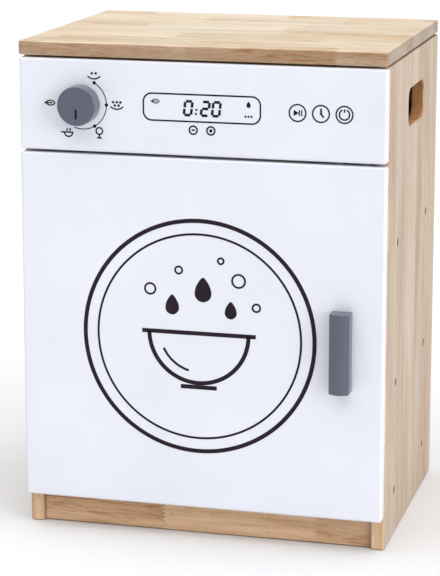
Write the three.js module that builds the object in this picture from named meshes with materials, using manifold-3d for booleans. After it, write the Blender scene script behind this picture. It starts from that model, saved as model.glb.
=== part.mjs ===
// Wooden toy dishwasher: a board cabinet with a hinged door, a turning dial and two racks that pull out.
// Millimetres, +Z up, front towards -Y, origin under the middle of the whole toy.
import * as THREE from 'three';
import { mergeVertices, toCreasedNormals } from 'three/addons/utils/BufferGeometryUtils.js';
import Module from 'manifold-3d';

const wasm = await Module();
wasm.setup();

// Whole cabinet
const CABINET_WIDTH = 400;
const CABINET_DEPTH = 310;
const CABINET_HEIGHT = 540;
const BOARD = 15;               // thickness of every board and painted panel
const EDGE_RADIUS = 2.5;        // rounding of the wooden boards
const FIT = 0.3;                // gap between pieces that are fixed together
const CUT_OVERRUN = 4;          // how far a cutting shape runs past the face that it opens

// Fronts
const CARCASS_GAP = 1.5;        // between the back of a front and the front edges of the sides
const FRONT_SIDE_GAP = 0.5;     // how far the fronts stop short of the cabinet's sides
const PANEL_TOP_GAP = 2.5;      // shadow line under the worktop
const CONTROL_PANEL_HEIGHT = 99;
const DOOR_TOP_GAP = 3;
const DOOR_FLOOR_CLEARANCE = 36;
const FRONT_RADIUS = 3;

// Inside boards
const FLOOR_BOARD_ROW = 51;     // height of its middle, and of its screws
const KICK_RECESS = 5;
const KICK_FLOOR_CLEARANCE = 1;
const INNER_RADIUS = 1;
const BACK_THICKNESS = 5;
const BACK_INSET = 4.5;         // from the back of the sides to the back panel
const GROOVE_DEPTH = 5;
const LINTEL_WASHER_GAP = 5.9;  // from the lintel's top to the washer of the dial
const LINTEL_SILL = 1.5;        // lintel's underside above the control panel's
const LINTEL_SCREW_SPREAD = 120;
const LINTEL_SCREW_BITE = 10;   // how far its screws go into the control panel

// Hand grips
const GRIP_LENGTH = 97;
const GRIP_HEIGHT = 41;
const GRIP_BEHIND_MIDDLE = 9.75; // its middle behind the middle of the side panel
const GRIP_FROM_TOP = 76.5;     // its middle below the top of the cabinet
const GRIP_CORNER = 13;

// Screws
const SCREW_FRONT_COLUMN = 71;
const SCREW_FROM_BACK = 62;
const SCREW_HEAD_RADIUS = 3.4;
const SCREW_HEAD_HEIGHT = 2.6;
const SCREW_SHANK_RADIUS = 1.9;
const SCREW_TIP = 4;
const SCREW_SINK = 0.4;
const FLOOR_SCREW_BITE = 23;    // how far a screw goes into what the side carries
const RUNNER_SCREW_BITE = 11;
const SCREW_SIDES = 12;

// Runners and racks
const LOWER_RUNNER_ROW = 173;
const UPPER_RUNNER_ROW = 327.5;
const RUNNER_WIDTH = 14;
const RUNNER_HEIGHT = 18;
const RUNNER_FRONT = 36;
const RUNNER_BACK_GAP = 4;
const SLIDE_CLEARANCE = 1;
const RACK_FRONT = 37;
const RACK_BACK_GAP = 11.5;     // to the back panel
const RACK_RAIL = 12;
const RACK_DROP = 32;           // how far the frame hangs below the top of the runner
const FLANGE_THICKNESS = 8;
const FLANGE_SETBACK = 30;
const SCOOP_WIDTH = 110;
const SCOOP_DEPTH = 14;
const BASE_THICKNESS = 6;
const BASE_SLOTS = 7;
const BASE_SLOT_WIDTH = 12;
const BASE_MARGIN = 34;
const PEG_RADIUS = 4;
const PEG_RAIL_WIDTH = 16;
const PEG_RAIL_HEIGHT = 12;
const PEG_SIDES = 10;
const PEG_END_MARGIN = 26;
const LOWER_PEGS = 8;
const LOWER_PEG_HEIGHT = 48;
const LOWER_PEG_RAIL_SHARES = [0.31, 0.69];  // of the rack's depth
const UPPER_PEGS = 7;
const UPPER_PEG_HEIGHT = 34;
const UPPER_PEG_RAIL_SHARES = [0.33, 0.67];

// Hinges
const HINGE_LENGTH = 36;
const HINGE_INSET = 60;         // middle of a hinge from the end of the door
const BARREL_RADIUS = 1.5;
const BARREL_CLEARANCE = 0.4;
const HINGE_PIN_RADIUS = 0.7;
const HINGE_PIN_CLEARANCE = 0.3;
const LEAF_THICKNESS = 0.8;
const LEAF_PROUD = 0.4;
const LEAF_WIDTH = 11.5;        // from the pin's axis to the free edge
const KNUCKLES = 3;
const KNUCKLE_GAP = 0.4;
const BARREL_SIDES = 16;

// Magnet catch
const CATCH_FROM_SIDE = 40;     // its middle from the side of the cabinet
const CATCH_WIDTH = 34;
const CATCH_HEIGHT = 12;
const CATCH_DEPTH = 14;
const CATCH_RADIUS = 1.5;
const CATCH_AIR_GAP = 0.5;
const STRIKE_WIDTH = 24;
const STRIKE_HEIGHT = 10;
const STRIKE_THICKNESS = 1.2;
const STRIKE_PROUD = 0.7;
const STRIKE_FROM_DOOR_TOP = 7;
const STRIKE_CORNER = 1.5;

// Program dial
const DIAL_FROM_SIDE = 70;
const DIAL_FROM_PANEL_TOP = 48.1;
const DIAL_RADIUS = 21;
const DIAL_LENGTH = 19;
const DIAL_ROUNDING = 1.6;
const DIAL_PANEL_GAP = 0.5;
const DIAL_SIDES = 48;
const POINTER_LENGTH = 11;
const POINTER_WIDTH = 2.5;
const POINTER_DEPTH = 1.4;
const POINTER_FROM_AXIS = 3;
const BOLT_RADIUS = 3;
const BOLT_REACH = 12;          // how far the bolt goes into the knob
const BOLT_HEAD_RADIUS = 7;
const BOLT_HEAD_LENGTH = 3;
const BOLT_CROWN = 1.5;
const WASHER_RADIUS = 8.5;
const WASHER_THICKNESS = 1.4;
const BOLT_SIDES = 24;

// Door handle
const HANDLE_FROM_SIDE = 45;
const HANDLE_MIDDLE_HEIGHT = 222.5;
const HANDLE_LENGTH = 87;
const HANDLE_WIDTH = 22;
const HANDLE_REACH = 20;
const HANDLE_SWELL = 4.5;       // how far the middle of its front stands before the edges
const HANDLE_END_EASE = 1.6;
const HANDLE_SCREW_SPREAD = 52;
const HANDLE_SCREW_BITE = 12;

// Smoothness: steps of a rounded corner, and of the eased edge around it
const PLAIN = { corner: 1, edge: 1 };
const USUAL = { corner: 3, edge: 2 };
const FINE = { corner: 5, edge: 2 };
const CREASE_ANGLE = Math.PI / 6;
const EASE_SHARE = 0.8;        // edge rounding across the thickness, as a share of the corner's radius

// Places worked out from the sizes
const HALF_WIDTH = CABINET_WIDTH / 2;
const INNER_HALF = HALF_WIDTH - BOARD;
const FITTED_HALF = INNER_HALF - FIT;
const CARCASS_FRONT = BOARD + CARCASS_GAP;
const SIDE_HEIGHT = CABINET_HEIGHT - BOARD - FIT;
const CONTROL_PANEL_TOP = CABINET_HEIGHT - BOARD - PANEL_TOP_GAP;
const CONTROL_PANEL_BOTTOM = CONTROL_PANEL_TOP - CONTROL_PANEL_HEIGHT;
const DOOR_TOP = CONTROL_PANEL_BOTTOM - DOOR_TOP_GAP;
const FRONT_WIDTH = CABINET_WIDTH - 2 * FRONT_SIDE_GAP;
const BACK_FACE = CABINET_DEPTH - BACK_INSET - BACK_THICKNESS;
const FLOOR_BOARD_BOTTOM = FLOOR_BOARD_ROW - BOARD / 2;
const LINTEL_BOTTOM = CONTROL_PANEL_BOTTOM + LINTEL_SILL;
const LINTEL_FRONT = BOARD + FIT;
const SCREW_COLUMNS = [SCREW_FRONT_COLUMN, CABINET_DEPTH - SCREW_FROM_BACK];
const SCREW_ROWS = [FLOOR_BOARD_ROW, LOWER_RUNNER_ROW, UPPER_RUNNER_ROW];
const RUNNER_INNER = FITTED_HALF - RUNNER_WIDTH;
const WEB_OUTER = RUNNER_INNER - SLIDE_CLEARANCE;
const WEB_INNER = WEB_OUTER - RACK_RAIL;
const HINGE_AXIS_X = BARREL_RADIUS - HALF_WIDTH;
const HINGE_AXIS_DEPTH = BOARD;
const HINGE_HEIGHTS = [DOOR_FLOOR_CLEARANCE + HINGE_INSET, DOOR_TOP - HINGE_INSET];
const HINGE_NAMES = ['lower', 'upper'];
const DIAL_X = DIAL_FROM_SIDE - HALF_WIDTH;
const HANDLE_X = HALF_WIDTH - HANDLE_FROM_SIDE;
const RACK_DEPTH = BACK_FACE - RACK_BACK_GAP - RACK_FRONT;
const GRIP_DEPTH = (CARCASS_FRONT + CABINET_DEPTH) / 2 + GRIP_BEHIND_MIDDLE;
const DIAL_HEIGHT = CONTROL_PANEL_TOP - DIAL_FROM_PANEL_TOP;
const LINTEL_HEIGHT = DIAL_HEIGHT - WASHER_RADIUS - LINTEL_WASHER_GAP - LINTEL_BOTTOM;
const FLOOR_SCREW_LENGTH = BOARD + FLOOR_SCREW_BITE;
const RUNNER_SCREW_LENGTH = BOARD + RUNNER_SCREW_BITE;
const LINTEL_SCREW_LENGTH = BOARD + LINTEL_SCREW_BITE;
const HANDLE_SCREW_LENGTH = BOARD + HANDLE_SCREW_BITE;

// Finishes
function finish(color, roughness, metalness = 0) {
  return new THREE.MeshStandardMaterial({ color, roughness, metalness });
}
const rubberwood = finish(0xd9b48c, 0.55);
const whitePaint = finish(0xe8e9f2, 0.45);
const slatePaint = finish(0x646b80, 0.5);
const beech = finish(0xd8b283, 0.6);
const plywood = finish(0xcfae82, 0.65);
const steel = finish(0xb8b8b4, 0.35, 1);
const catchPlastic = finish(0xe6e2da, 0.5);

// Outlines and solids
function roundedRectangle(left, bottom, width, height, radius, Outline = THREE.Shape) {
  const right = left + width;
  const top = bottom + height;
  const quarter = Math.PI / 2;
  const outline = new Outline();
  outline.moveTo(left + radius, bottom);
  outline.lineTo(right - radius, bottom);
  outline.absarc(right - radius, bottom + radius, radius, -quarter, 0, false);
  outline.lineTo(right, top - radius);
  outline.absarc(right - radius, top - radius, radius, 0, quarter, false);
  outline.lineTo(left + radius, top);
  outline.absarc(left + radius, top - radius, radius, quarter, 2 * quarter, false);
  outline.lineTo(left, bottom + radius);
  outline.absarc(left + radius, bottom + radius, radius, 2 * quarter, 3 * quarter, false);
  outline.closePath();
  return outline;
}

function plate(outline, thickness, ease = 0, steps = USUAL) {
  const geometry = new THREE.ExtrudeGeometry(outline, {
    depth: thickness - 2 * ease,
    bevelEnabled: ease > 0,
    bevelThickness: ease,
    bevelSize: ease,
    bevelOffset: -ease,
    bevelSegments: steps.edge,
    curveSegments: steps.corner,
  });
  return geometry.translate(0, 0, ease);
}

// A plate drawn across x and z, with its front at a depth behind the front of the door
const standingPlate = (outline, thickness, front, ease, steps) =>
  plate(outline, thickness, ease, steps).rotateX(Math.PI / 2).translate(0, front + thickness, 0);

// A plate drawn across depth and z, with its left face at x
const sidewaysPlate = (outline, thickness, left, ease, steps) =>
  plate(outline, thickness, ease, steps).rotateX(Math.PI / 2).rotateZ(Math.PI / 2).translate(left, 0, 0);

function box(left, right, front, back, bottom, top) {
  const geometry = new THREE.BoxGeometry(right - left, back - front, top - bottom);
  return geometry.translate((left + right) / 2, (front + back) / 2, (bottom + top) / 2);
}

function turned(profile, sides) {
  return new THREE.LatheGeometry(profile.map(([radius, along]) => new THREE.Vector2(radius, along)), sides);
}

function solid(geometry) {
  const bare = geometry.clone();
  bare.deleteAttribute('normal');
  bare.deleteAttribute('uv');
  const merged = mergeVertices(bare);
  return new wasm.Manifold(new wasm.Mesh({
    numProp: 3,
    vertProperties: new Float32Array(merged.attributes.position.array),
    triVerts: new Uint32Array(merged.index.array),
  }));
}

function surface(body) {
  const mesh = body.getMesh();
  const geometry = new THREE.BufferGeometry();
  geometry.setAttribute('position', new THREE.BufferAttribute(new Float32Array(mesh.vertProperties), 3));
  geometry.setIndex(new THREE.BufferAttribute(new Uint32Array(mesh.triVerts), 1));
  return toCreasedNormals(geometry, CREASE_ANGLE);
}

const cut = (geometry, tools) =>
  surface(tools.reduce((body, tool) => body.subtract(solid(tool)), solid(geometry)));
const join = (geometry, others) =>
  surface(others.reduce((body, other) => body.add(solid(other)), solid(geometry)));

function addPiece(group, name, geometry, material) {
  const piece = new THREE.Mesh(geometry, material);
  piece.name = name;
  group.add(piece);
  return piece;
}

// Screws: turned around Y with the tip at zero and the head at the far end, then laid in their direction
function screwProfile(length, spare = 0, headRoom = 0) {
  const head = SCREW_HEAD_RADIUS + spare;
  return [
    [0, -spare],
    [SCREW_SHANK_RADIUS + spare, SCREW_TIP - spare],
    [SCREW_SHANK_RADIUS + spare, length - SCREW_HEAD_HEIGHT],
    [head, length],
    ...(headRoom > 0 ? [[head, length + headRoom]] : []),
    [0, length + headRoom],
  ];
}
const screw = (length) => turned(screwProfile(length), SCREW_SIDES);
const screwHole = (length) => turned(screwProfile(length, FIT, SCREW_SINK + CUT_OVERRUN), SCREW_SIDES);

// Lays a screw with its head at the side's outer face, pointing into the cabinet
const intoSide = (geometry, length, side, depth, height) => geometry
  .rotateZ(-side * Math.PI / 2)
  .translate(side * (HALF_WIDTH - SCREW_SINK - length), depth, height);

// Lays a screw that is driven from the back towards the front
const fromBehind = (geometry, length, x, head, height) =>
  geometry.translate(x, head - SCREW_SINK - length, height);

const screwLengths = [FLOOR_SCREW_LENGTH, RUNNER_SCREW_LENGTH, RUNNER_SCREW_LENGTH];
const sideHoles = (side, rows) => rows.flatMap((row) => SCREW_COLUMNS.map((column) =>
  intoSide(screwHole(screwLengths[row]), screwLengths[row], side, column, SCREW_ROWS[row])));

// Cabinet, in depths behind the front of the door
const toy = new THREE.Group();
const cabinet = new THREE.Group();
cabinet.position.y = -(CABINET_DEPTH - HANDLE_REACH) / 2;
toy.add(cabinet);

const ease = EDGE_RADIUS * EASE_SHARE;
const innerEase = INNER_RADIUS * EASE_SHARE;

// Worktop
const worktopOutline = roundedRectangle(-HALF_WIDTH, 0, CABINET_WIDTH, CABINET_DEPTH, EDGE_RADIUS);
addPiece(cabinet, 'worktop',
  plate(worktopOutline, BOARD, ease).translate(0, 0, CABINET_HEIGHT - BOARD), rubberwood);

// Hinge pockets, shared by the side and the door
const leafPocketDepth = LEAF_THICKNESS - LEAF_PROUD + FIT;
const leafPocket = (face, direction, height) => box(
  -HALF_WIDTH - CUT_OVERRUN, HINGE_AXIS_X + LEAF_WIDTH + FIT,
  Math.min(face - direction * CUT_OVERRUN, face + direction * leafPocketDepth),
  Math.max(face - direction * CUT_OVERRUN, face + direction * leafPocketDepth),
  height - HINGE_LENGTH / 2 - FIT, height + HINGE_LENGTH / 2 + FIT);
const barrelRoom = (height) => turned([
  [0, -HINGE_LENGTH / 2 - FIT],
  [BARREL_RADIUS + BARREL_CLEARANCE, -HINGE_LENGTH / 2 - FIT],
  [BARREL_RADIUS + BARREL_CLEARANCE, HINGE_LENGTH / 2 + FIT],
  [0, HINGE_LENGTH / 2 + FIT],
], BARREL_SIDES).rotateX(Math.PI / 2).translate(HINGE_AXIS_X, HINGE_AXIS_DEPTH, height);

// Side panels with hand grip, back groove, screw holes and, on the left, the hinge pockets
const sideDepth = CABINET_DEPTH - CARCASS_FRONT;
for (const [name, side] of [['left_side_panel', -1], ['right_side_panel', 1]]) {
  const outline = roundedRectangle(CARCASS_FRONT, 0, sideDepth, SIDE_HEIGHT, EDGE_RADIUS);
  outline.holes.push(roundedRectangle(GRIP_DEPTH - GRIP_LENGTH / 2,
    CABINET_HEIGHT - GRIP_FROM_TOP - GRIP_HEIGHT / 2, GRIP_LENGTH, GRIP_HEIGHT, GRIP_CORNER, THREE.Path));
  const panel = sidewaysPlate(outline, BOARD, side > 0 ? INNER_HALF : -HALF_WIDTH, ease, FINE);
  const groove = box(
    Math.min(side * (INNER_HALF - CUT_OVERRUN), side * (INNER_HALF + GROOVE_DEPTH)),
    Math.max(side * (INNER_HALF - CUT_OVERRUN), side * (INNER_HALF + GROOVE_DEPTH)),
    BACK_FACE - FIT, BACK_FACE + BACK_THICKNESS + FIT, -CUT_OVERRUN, SIDE_HEIGHT + CUT_OVERRUN);
  const pockets = side < 0 ? HINGE_HEIGHTS.map((height) => leafPocket(CARCASS_FRONT, 1, height)) : [];
  addPiece(cabinet, name, cut(panel, [groove, ...sideHoles(side, [0, 1, 2]), ...pockets]), rubberwood);
}

// Floor board, on the lowest row of screws
const floorBack = BACK_FACE - FIT;
const floorOutline = roundedRectangle(-FITTED_HALF, CARCASS_FRONT, 2 * FITTED_HALF,
  floorBack - CARCASS_FRONT, INNER_RADIUS);
const floorBoard = plate(floorOutline, BOARD, innerEase, PLAIN).translate(0, 0, FLOOR_BOARD_BOTTOM);
addPiece(cabinet, 'floor_board', cut(floorBoard, [...sideHoles(-1, [0]), ...sideHoles(1, [0])]), rubberwood);

// Back panel, slid into the grooves
const backHalf = INNER_HALF + GROOVE_DEPTH - FIT;
const backPanel = box(-backHalf, backHalf, BACK_FACE, BACK_FACE + BACK_THICKNESS,
  KICK_FLOOR_CLEARANCE, SIDE_HEIGHT - FIT);
addPiece(cabinet, 'back_panel', backPanel, plywood);

// Kick plate, set back under the door
const kickTop = FLOOR_BOARD_BOTTOM - FIT;
const kickOutline = roundedRectangle(-FITTED_HALF, KICK_FLOOR_CLEARANCE, 2 * FITTED_HALF,
  kickTop - KICK_FLOOR_CLEARANCE, INNER_RADIUS);
addPiece(cabinet, 'kick_plate',
  standingPlate(kickOutline, BOARD, CARCASS_FRONT + KICK_RECESS, innerEase, PLAIN), rubberwood);

// Lintel rail behind the control panel, and the two screws through it into the panel
const lintelBack = LINTEL_FRONT + BOARD;
const lintelMiddle = LINTEL_BOTTOM + LINTEL_HEIGHT / 2;
const lintelScrewPlaces = [-LINTEL_SCREW_SPREAD / 2, LINTEL_SCREW_SPREAD / 2];
const lintelHoles = () => lintelScrewPlaces.map((x) =>
  fromBehind(screwHole(LINTEL_SCREW_LENGTH), LINTEL_SCREW_LENGTH, x, lintelBack, lintelMiddle));
const lintelOutline = roundedRectangle(-FITTED_HALF, LINTEL_BOTTOM,
  2 * FITTED_HALF, LINTEL_HEIGHT, INNER_RADIUS);
addPiece(cabinet, 'lintel_rail',
  cut(standingPlate(lintelOutline, BOARD, LINTEL_FRONT, innerEase, PLAIN), lintelHoles()), rubberwood);
lintelScrewPlaces.forEach((x, index) => addPiece(cabinet, `control_panel_screw_${index + 1}`,
  fromBehind(screw(LINTEL_SCREW_LENGTH), LINTEL_SCREW_LENGTH, x, lintelBack, lintelMiddle), steel));

// Control panel with the hole for the dial's bolt
const frontEase = FRONT_RADIUS * EASE_SHARE;
const panelOutline = roundedRectangle(-FRONT_WIDTH / 2, CONTROL_PANEL_BOTTOM, FRONT_WIDTH,
  CONTROL_PANEL_HEIGHT, FRONT_RADIUS);
const boltHole = turned([
  [0, -CUT_OVERRUN], [BOLT_RADIUS + FIT, -CUT_OVERRUN],
  [BOLT_RADIUS + FIT, BOARD + CUT_OVERRUN], [0, BOARD + CUT_OVERRUN],
], BOLT_SIDES).translate(DIAL_X, 0, DIAL_HEIGHT);
addPiece(cabinet, 'control_panel',
  cut(standingPlate(panelOutline, BOARD, 0, frontEase), [boltHole, ...lintelHoles()]), whitePaint);

// Screws through the sides
for (const [sideName, side] of [['left', -1], ['right', 1]]) {
  SCREW_ROWS.forEach((height, row) => SCREW_COLUMNS.forEach((column, index) => {
    const rowName = ['floor', 'lower', 'upper'][row];
    const columnName = ['front', 'back'][index];
    addPiece(cabinet, `${sideName}_${rowName}_${columnName}_screw`,
      intoSide(screw(screwLengths[row]), screwLengths[row], side, column, height), steel);
  }));
}

// Runners that carry the racks
const runnerBack = BACK_FACE - RUNNER_BACK_GAP;
for (const [sideName, side] of [['left', -1], ['right', 1]]) {
  for (const [rowName, row] of [['lower', 1], ['upper', 2]]) {
    const outline = roundedRectangle(RUNNER_FRONT, SCREW_ROWS[row] - RUNNER_HEIGHT / 2,
      runnerBack - RUNNER_FRONT, RUNNER_HEIGHT, INNER_RADIUS);
    const left = side > 0 ? RUNNER_INNER : -FITTED_HALF;
    const runner = sidewaysPlate(outline, RUNNER_WIDTH, left, innerEase, PLAIN);
    addPiece(cabinet, `${sideName}_${rowName}_runner`, cut(runner, sideHoles(side, [row])), beech);
  }
}

// Magnet catch under the lintel
const catchX = HALF_WIDTH - CATCH_FROM_SIDE;
const catchFront = BOARD + STRIKE_PROUD + CATCH_AIR_GAP;
const catchOutline = roundedRectangle(catchX - CATCH_WIDTH / 2, LINTEL_BOTTOM - FIT - CATCH_HEIGHT,
  CATCH_WIDTH, CATCH_HEIGHT, CATCH_RADIUS);
addPiece(cabinet, 'magnet_catch',
  standingPlate(catchOutline, CATCH_DEPTH, catchFront, CATCH_RADIUS * EASE_SHARE), catchPlastic);

// Door, with pockets for hinges, barrels and strike plate
const door = new THREE.Group();
cabinet.add(door);
const strikePocketDepth = STRIKE_THICKNESS - STRIKE_PROUD + FIT;
const strikeBottom = DOOR_TOP - STRIKE_FROM_DOOR_TOP - STRIKE_HEIGHT / 2;
const strikeShape = (spare) => roundedRectangle(catchX - STRIKE_WIDTH / 2 - spare, strikeBottom - spare,
  STRIKE_WIDTH + 2 * spare, STRIKE_HEIGHT + 2 * spare, STRIKE_CORNER + spare);
const handleScrewHeights = [-HANDLE_SCREW_SPREAD / 2, HANDLE_SCREW_SPREAD / 2]
  .map((offset) => HANDLE_MIDDLE_HEIGHT + offset);
const handleHoles = () => handleScrewHeights.map((height) =>
  fromBehind(screwHole(HANDLE_SCREW_LENGTH), HANDLE_SCREW_LENGTH, HANDLE_X, BOARD, height));
const doorOutline = roundedRectangle(-FRONT_WIDTH / 2, DOOR_FLOOR_CLEARANCE, FRONT_WIDTH,
  DOOR_TOP - DOOR_FLOOR_CLEARANCE, FRONT_RADIUS);
addPiece(door, 'door_panel', cut(standingPlate(doorOutline, BOARD, 0, frontEase), [
  ...HINGE_HEIGHTS.flatMap((height) => [leafPocket(BOARD, -1, height), barrelRoom(height)]),
  standingPlate(strikeShape(FIT), strikePocketDepth + CUT_OVERRUN, BOARD - strikePocketDepth),
  ...handleHoles(),
]), whitePaint);
addPiece(door, 'strike_plate',
  standingPlate(strikeShape(0), STRIKE_THICKNESS, BOARD + STRIKE_PROUD - STRIKE_THICKNESS), steel);

// Handle: a bar whose front swells, screwed from the back of the door
function handleSection() {
  const half = HANDLE_WIDTH / 2;
  const frontEdge = HANDLE_SWELL - HANDLE_REACH;
  const section = new THREE.Shape();
  section.moveTo(-half, HANDLE_END_EASE);
  section.lineTo(-half, frontEdge);
  section.quadraticCurveTo(0, -HANDLE_REACH - HANDLE_SWELL, half, frontEdge);
  section.lineTo(half, HANDLE_END_EASE);
  section.closePath();
  return section;
}
const handle = plate(handleSection(), HANDLE_LENGTH, HANDLE_END_EASE, FINE)
  .translate(HANDLE_X, 0, HANDLE_MIDDLE_HEIGHT - HANDLE_LENGTH / 2);
const handleSeat = box(HANDLE_X - HANDLE_WIDTH, HANDLE_X + HANDLE_WIDTH,
  -FIT, CUT_OVERRUN, HANDLE_MIDDLE_HEIGHT - HANDLE_LENGTH, HANDLE_MIDDLE_HEIGHT + HANDLE_LENGTH);
addPiece(door, 'door_handle', cut(handle, [handleSeat, ...handleHoles()]), slatePaint);
handleScrewHeights.forEach((height, index) => addPiece(door, `handle_screw_${index + 1}`,
  fromBehind(screw(HANDLE_SCREW_LENGTH), HANDLE_SCREW_LENGTH, HANDLE_X, BOARD, height), steel));

// Butt hinges: the outer knuckles belong to the carcass leaf and the middle one to the door leaf
const knuckleLength = (HINGE_LENGTH - (KNUCKLES - 1) * KNUCKLE_GAP) / KNUCKLES;
function knuckleSpan(index) {
  const bottom = -HINGE_LENGTH / 2 + index * (knuckleLength + KNUCKLE_GAP);
  return [bottom, bottom + knuckleLength];
}
function rod(radius, bottom, top) {
  return turned([[0, bottom], [radius, bottom], [radius, top], [0, top]], BARREL_SIDES)
    .rotateX(Math.PI / 2);
}
function hingeLeaf(knuckles, front) {
  const back = front + LEAF_THICKNESS;
  const flap = box(BARREL_RADIUS + BARREL_CLEARANCE, LEAF_WIDTH, front, back,
    -HINGE_LENGTH / 2, HINGE_LENGTH / 2);
  const spans = knuckles.map(knuckleSpan);
  const tabs = spans.map(([bottom, top]) => box(0, LEAF_WIDTH / 2, front, back, bottom, top));
  const barrels = spans.map(([bottom, top]) => rod(BARREL_RADIUS, bottom, top));
  const bore = rod(HINGE_PIN_RADIUS + HINGE_PIN_CLEARANCE, -HINGE_LENGTH, HINGE_LENGTH);
  return cut(join(flap, [...tabs, ...barrels]), [bore]);
}
const everyKnuckle = Array.from({ length: KNUCKLES }, (unused, index) => index);
const outerKnuckles = everyKnuckle.filter((knuckle) => knuckle % 2 === 0);
const innerKnuckles = everyKnuckle.filter((knuckle) => knuckle % 2 === 1);
HINGE_HEIGHTS.forEach((height, index) => {
  const carcassLeaf = hingeLeaf(outerKnuckles, CARCASS_GAP - LEAF_PROUD);
  const doorLeaf = hingeLeaf(innerKnuckles, LEAF_PROUD - LEAF_THICKNESS);
  const pin = rod(HINGE_PIN_RADIUS, -HINGE_LENGTH / 2, HINGE_LENGTH / 2);
  const name = HINGE_NAMES[index];
  addPiece(cabinet, `${name}_hinge_carcass_leaf`, carcassLeaf, steel)
    .position.set(HINGE_AXIS_X, HINGE_AXIS_DEPTH, height);
  addPiece(door, `${name}_hinge_door_leaf`, doorLeaf, steel)
    .position.set(HINGE_AXIS_X, HINGE_AXIS_DEPTH, height);
  addPiece(cabinet, `${name}_hinge_pin`, pin, steel)
    .position.set(HINGE_AXIS_X, HINGE_AXIS_DEPTH, height);
});

// Program dial: knob, bolt through the panel, and washer behind it, all turned around the bolt's axis
const dial = new THREE.Group();
dial.position.set(DIAL_X, 0, DIAL_HEIGHT);
cabinet.add(dial);
const knobBack = -DIAL_PANEL_GAP;
const knobFront = knobBack - DIAL_LENGTH;
const roundingSteps = Array.from({ length: USUAL.corner + 1 }, (unused, step) => step / USUAL.corner);
const knobProfile = [
  [0, knobFront],
  ...roundingSteps.map((share) => [
    DIAL_RADIUS - DIAL_ROUNDING + DIAL_ROUNDING * Math.sin(share * Math.PI / 2),
    knobFront + DIAL_ROUNDING - DIAL_ROUNDING * Math.cos(share * Math.PI / 2),
  ]),
  [DIAL_RADIUS, knobBack],
  [BOLT_RADIUS + FIT, knobBack],
  [BOLT_RADIUS + FIT, knobBack - BOLT_REACH],
  [0, knobBack - BOLT_REACH],
];
const pointer = standingPlate(roundedRectangle(-POINTER_WIDTH / 2, -POINTER_FROM_AXIS - POINTER_LENGTH,
  POINTER_WIDTH, POINTER_LENGTH, POINTER_WIDTH / 2 - POINTER_WIDTH / POINTER_LENGTH),
CUT_OVERRUN + POINTER_DEPTH, knobFront - CUT_OVERRUN);
addPiece(dial, 'program_dial', cut(turned(knobProfile, DIAL_SIDES), [pointer]), slatePaint);
const washerFront = BOARD + FIT;
const boltHeadFront = washerFront + WASHER_THICKNESS + FIT;
addPiece(dial, 'dial_bolt', turned([
  [0, knobBack - BOLT_REACH + FIT],
  [BOLT_RADIUS, knobBack - BOLT_REACH + FIT],
  [BOLT_RADIUS, boltHeadFront],
  [BOLT_HEAD_RADIUS, boltHeadFront],
  [BOLT_HEAD_RADIUS, boltHeadFront + BOLT_HEAD_LENGTH - BOLT_CROWN],
  [BOLT_HEAD_RADIUS - BOLT_CROWN, boltHeadFront + BOLT_HEAD_LENGTH],
  [0, boltHeadFront + BOLT_HEAD_LENGTH],
], BOLT_SIDES), steel);
addPiece(dial, 'dial_washer', turned([
  [BOLT_RADIUS + FIT, washerFront],
  [WASHER_RADIUS, washerFront],
  [WASHER_RADIUS, washerFront + WASHER_THICKNESS],
  [BOLT_RADIUS + FIT, washerFront + WASHER_THICKNESS],
  [BOLT_RADIUS + FIT, washerFront],
], BOLT_SIDES), steel);

// Racks: frame hung on the runners, nailed-on base with drain slots, and rails of upright pegs
function sideRail(side) {
  const flangeOuter = INNER_HALF - SLIDE_CLEARANCE;
  const section = new THREE.Shape([
    [WEB_INNER, -RACK_DROP], [WEB_OUTER, -RACK_DROP], [WEB_OUTER, 0],
    [flangeOuter, 0], [flangeOuter, FLANGE_THICKNESS], [WEB_INNER, FLANGE_THICKNESS],
  ].map(([x, z]) => new THREE.Vector2(side * x, z)));
  const flangeEdges = [side * WEB_OUTER, side * HALF_WIDTH];
  const setback = box(Math.min(...flangeEdges), Math.max(...flangeEdges), -CUT_OVERRUN, FLANGE_SETBACK,
    -CUT_OVERRUN, FLANGE_THICKNESS + CUT_OVERRUN);
  return cut(standingPlate(section, RACK_DEPTH, 0), [setback]);
}

function endRail(front, scooped) {
  const half = WEB_INNER - FIT;
  const outline = new THREE.Shape();
  outline.moveTo(-half, -RACK_DROP);
  outline.lineTo(half, -RACK_DROP);
  outline.lineTo(half, FLANGE_THICKNESS);
  if (scooped) {
    const bottom = FLANGE_THICKNESS - SCOOP_DEPTH;
    const shoulder = SCOOP_WIDTH / 4;
    outline.lineTo(SCOOP_WIDTH / 2, FLANGE_THICKNESS);
    outline.bezierCurveTo(shoulder, FLANGE_THICKNESS, shoulder, bottom, 0, bottom);
    outline.bezierCurveTo(-shoulder, bottom, -shoulder, FLANGE_THICKNESS, -SCOOP_WIDTH / 2, FLANGE_THICKNESS);
  }
  outline.lineTo(-half, FLANGE_THICKNESS);
  outline.closePath();
  return standingPlate(outline, RACK_RAIL, front);
}

function baseBoard() {
  const outline = roundedRectangle(-WEB_OUTER, 0, 2 * WEB_OUTER, RACK_DEPTH, INNER_RADIUS);
  const pitch = 2 * (WEB_INNER - BASE_MARGIN / 2) / BASE_SLOTS;
  for (let slot = 0; slot < BASE_SLOTS; slot += 1) {
    const middle = (slot - (BASE_SLOTS - 1) / 2) * pitch;
    outline.holes.push(roundedRectangle(middle - BASE_SLOT_WIDTH / 2, BASE_MARGIN, BASE_SLOT_WIDTH,
      RACK_DEPTH - 2 * BASE_MARGIN, BASE_SLOT_WIDTH / 2 * EASE_SHARE, THREE.Path));
  }
  return plate(outline, BASE_THICKNESS).translate(0, 0, -RACK_DROP - FIT - BASE_THICKNESS);
}

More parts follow.
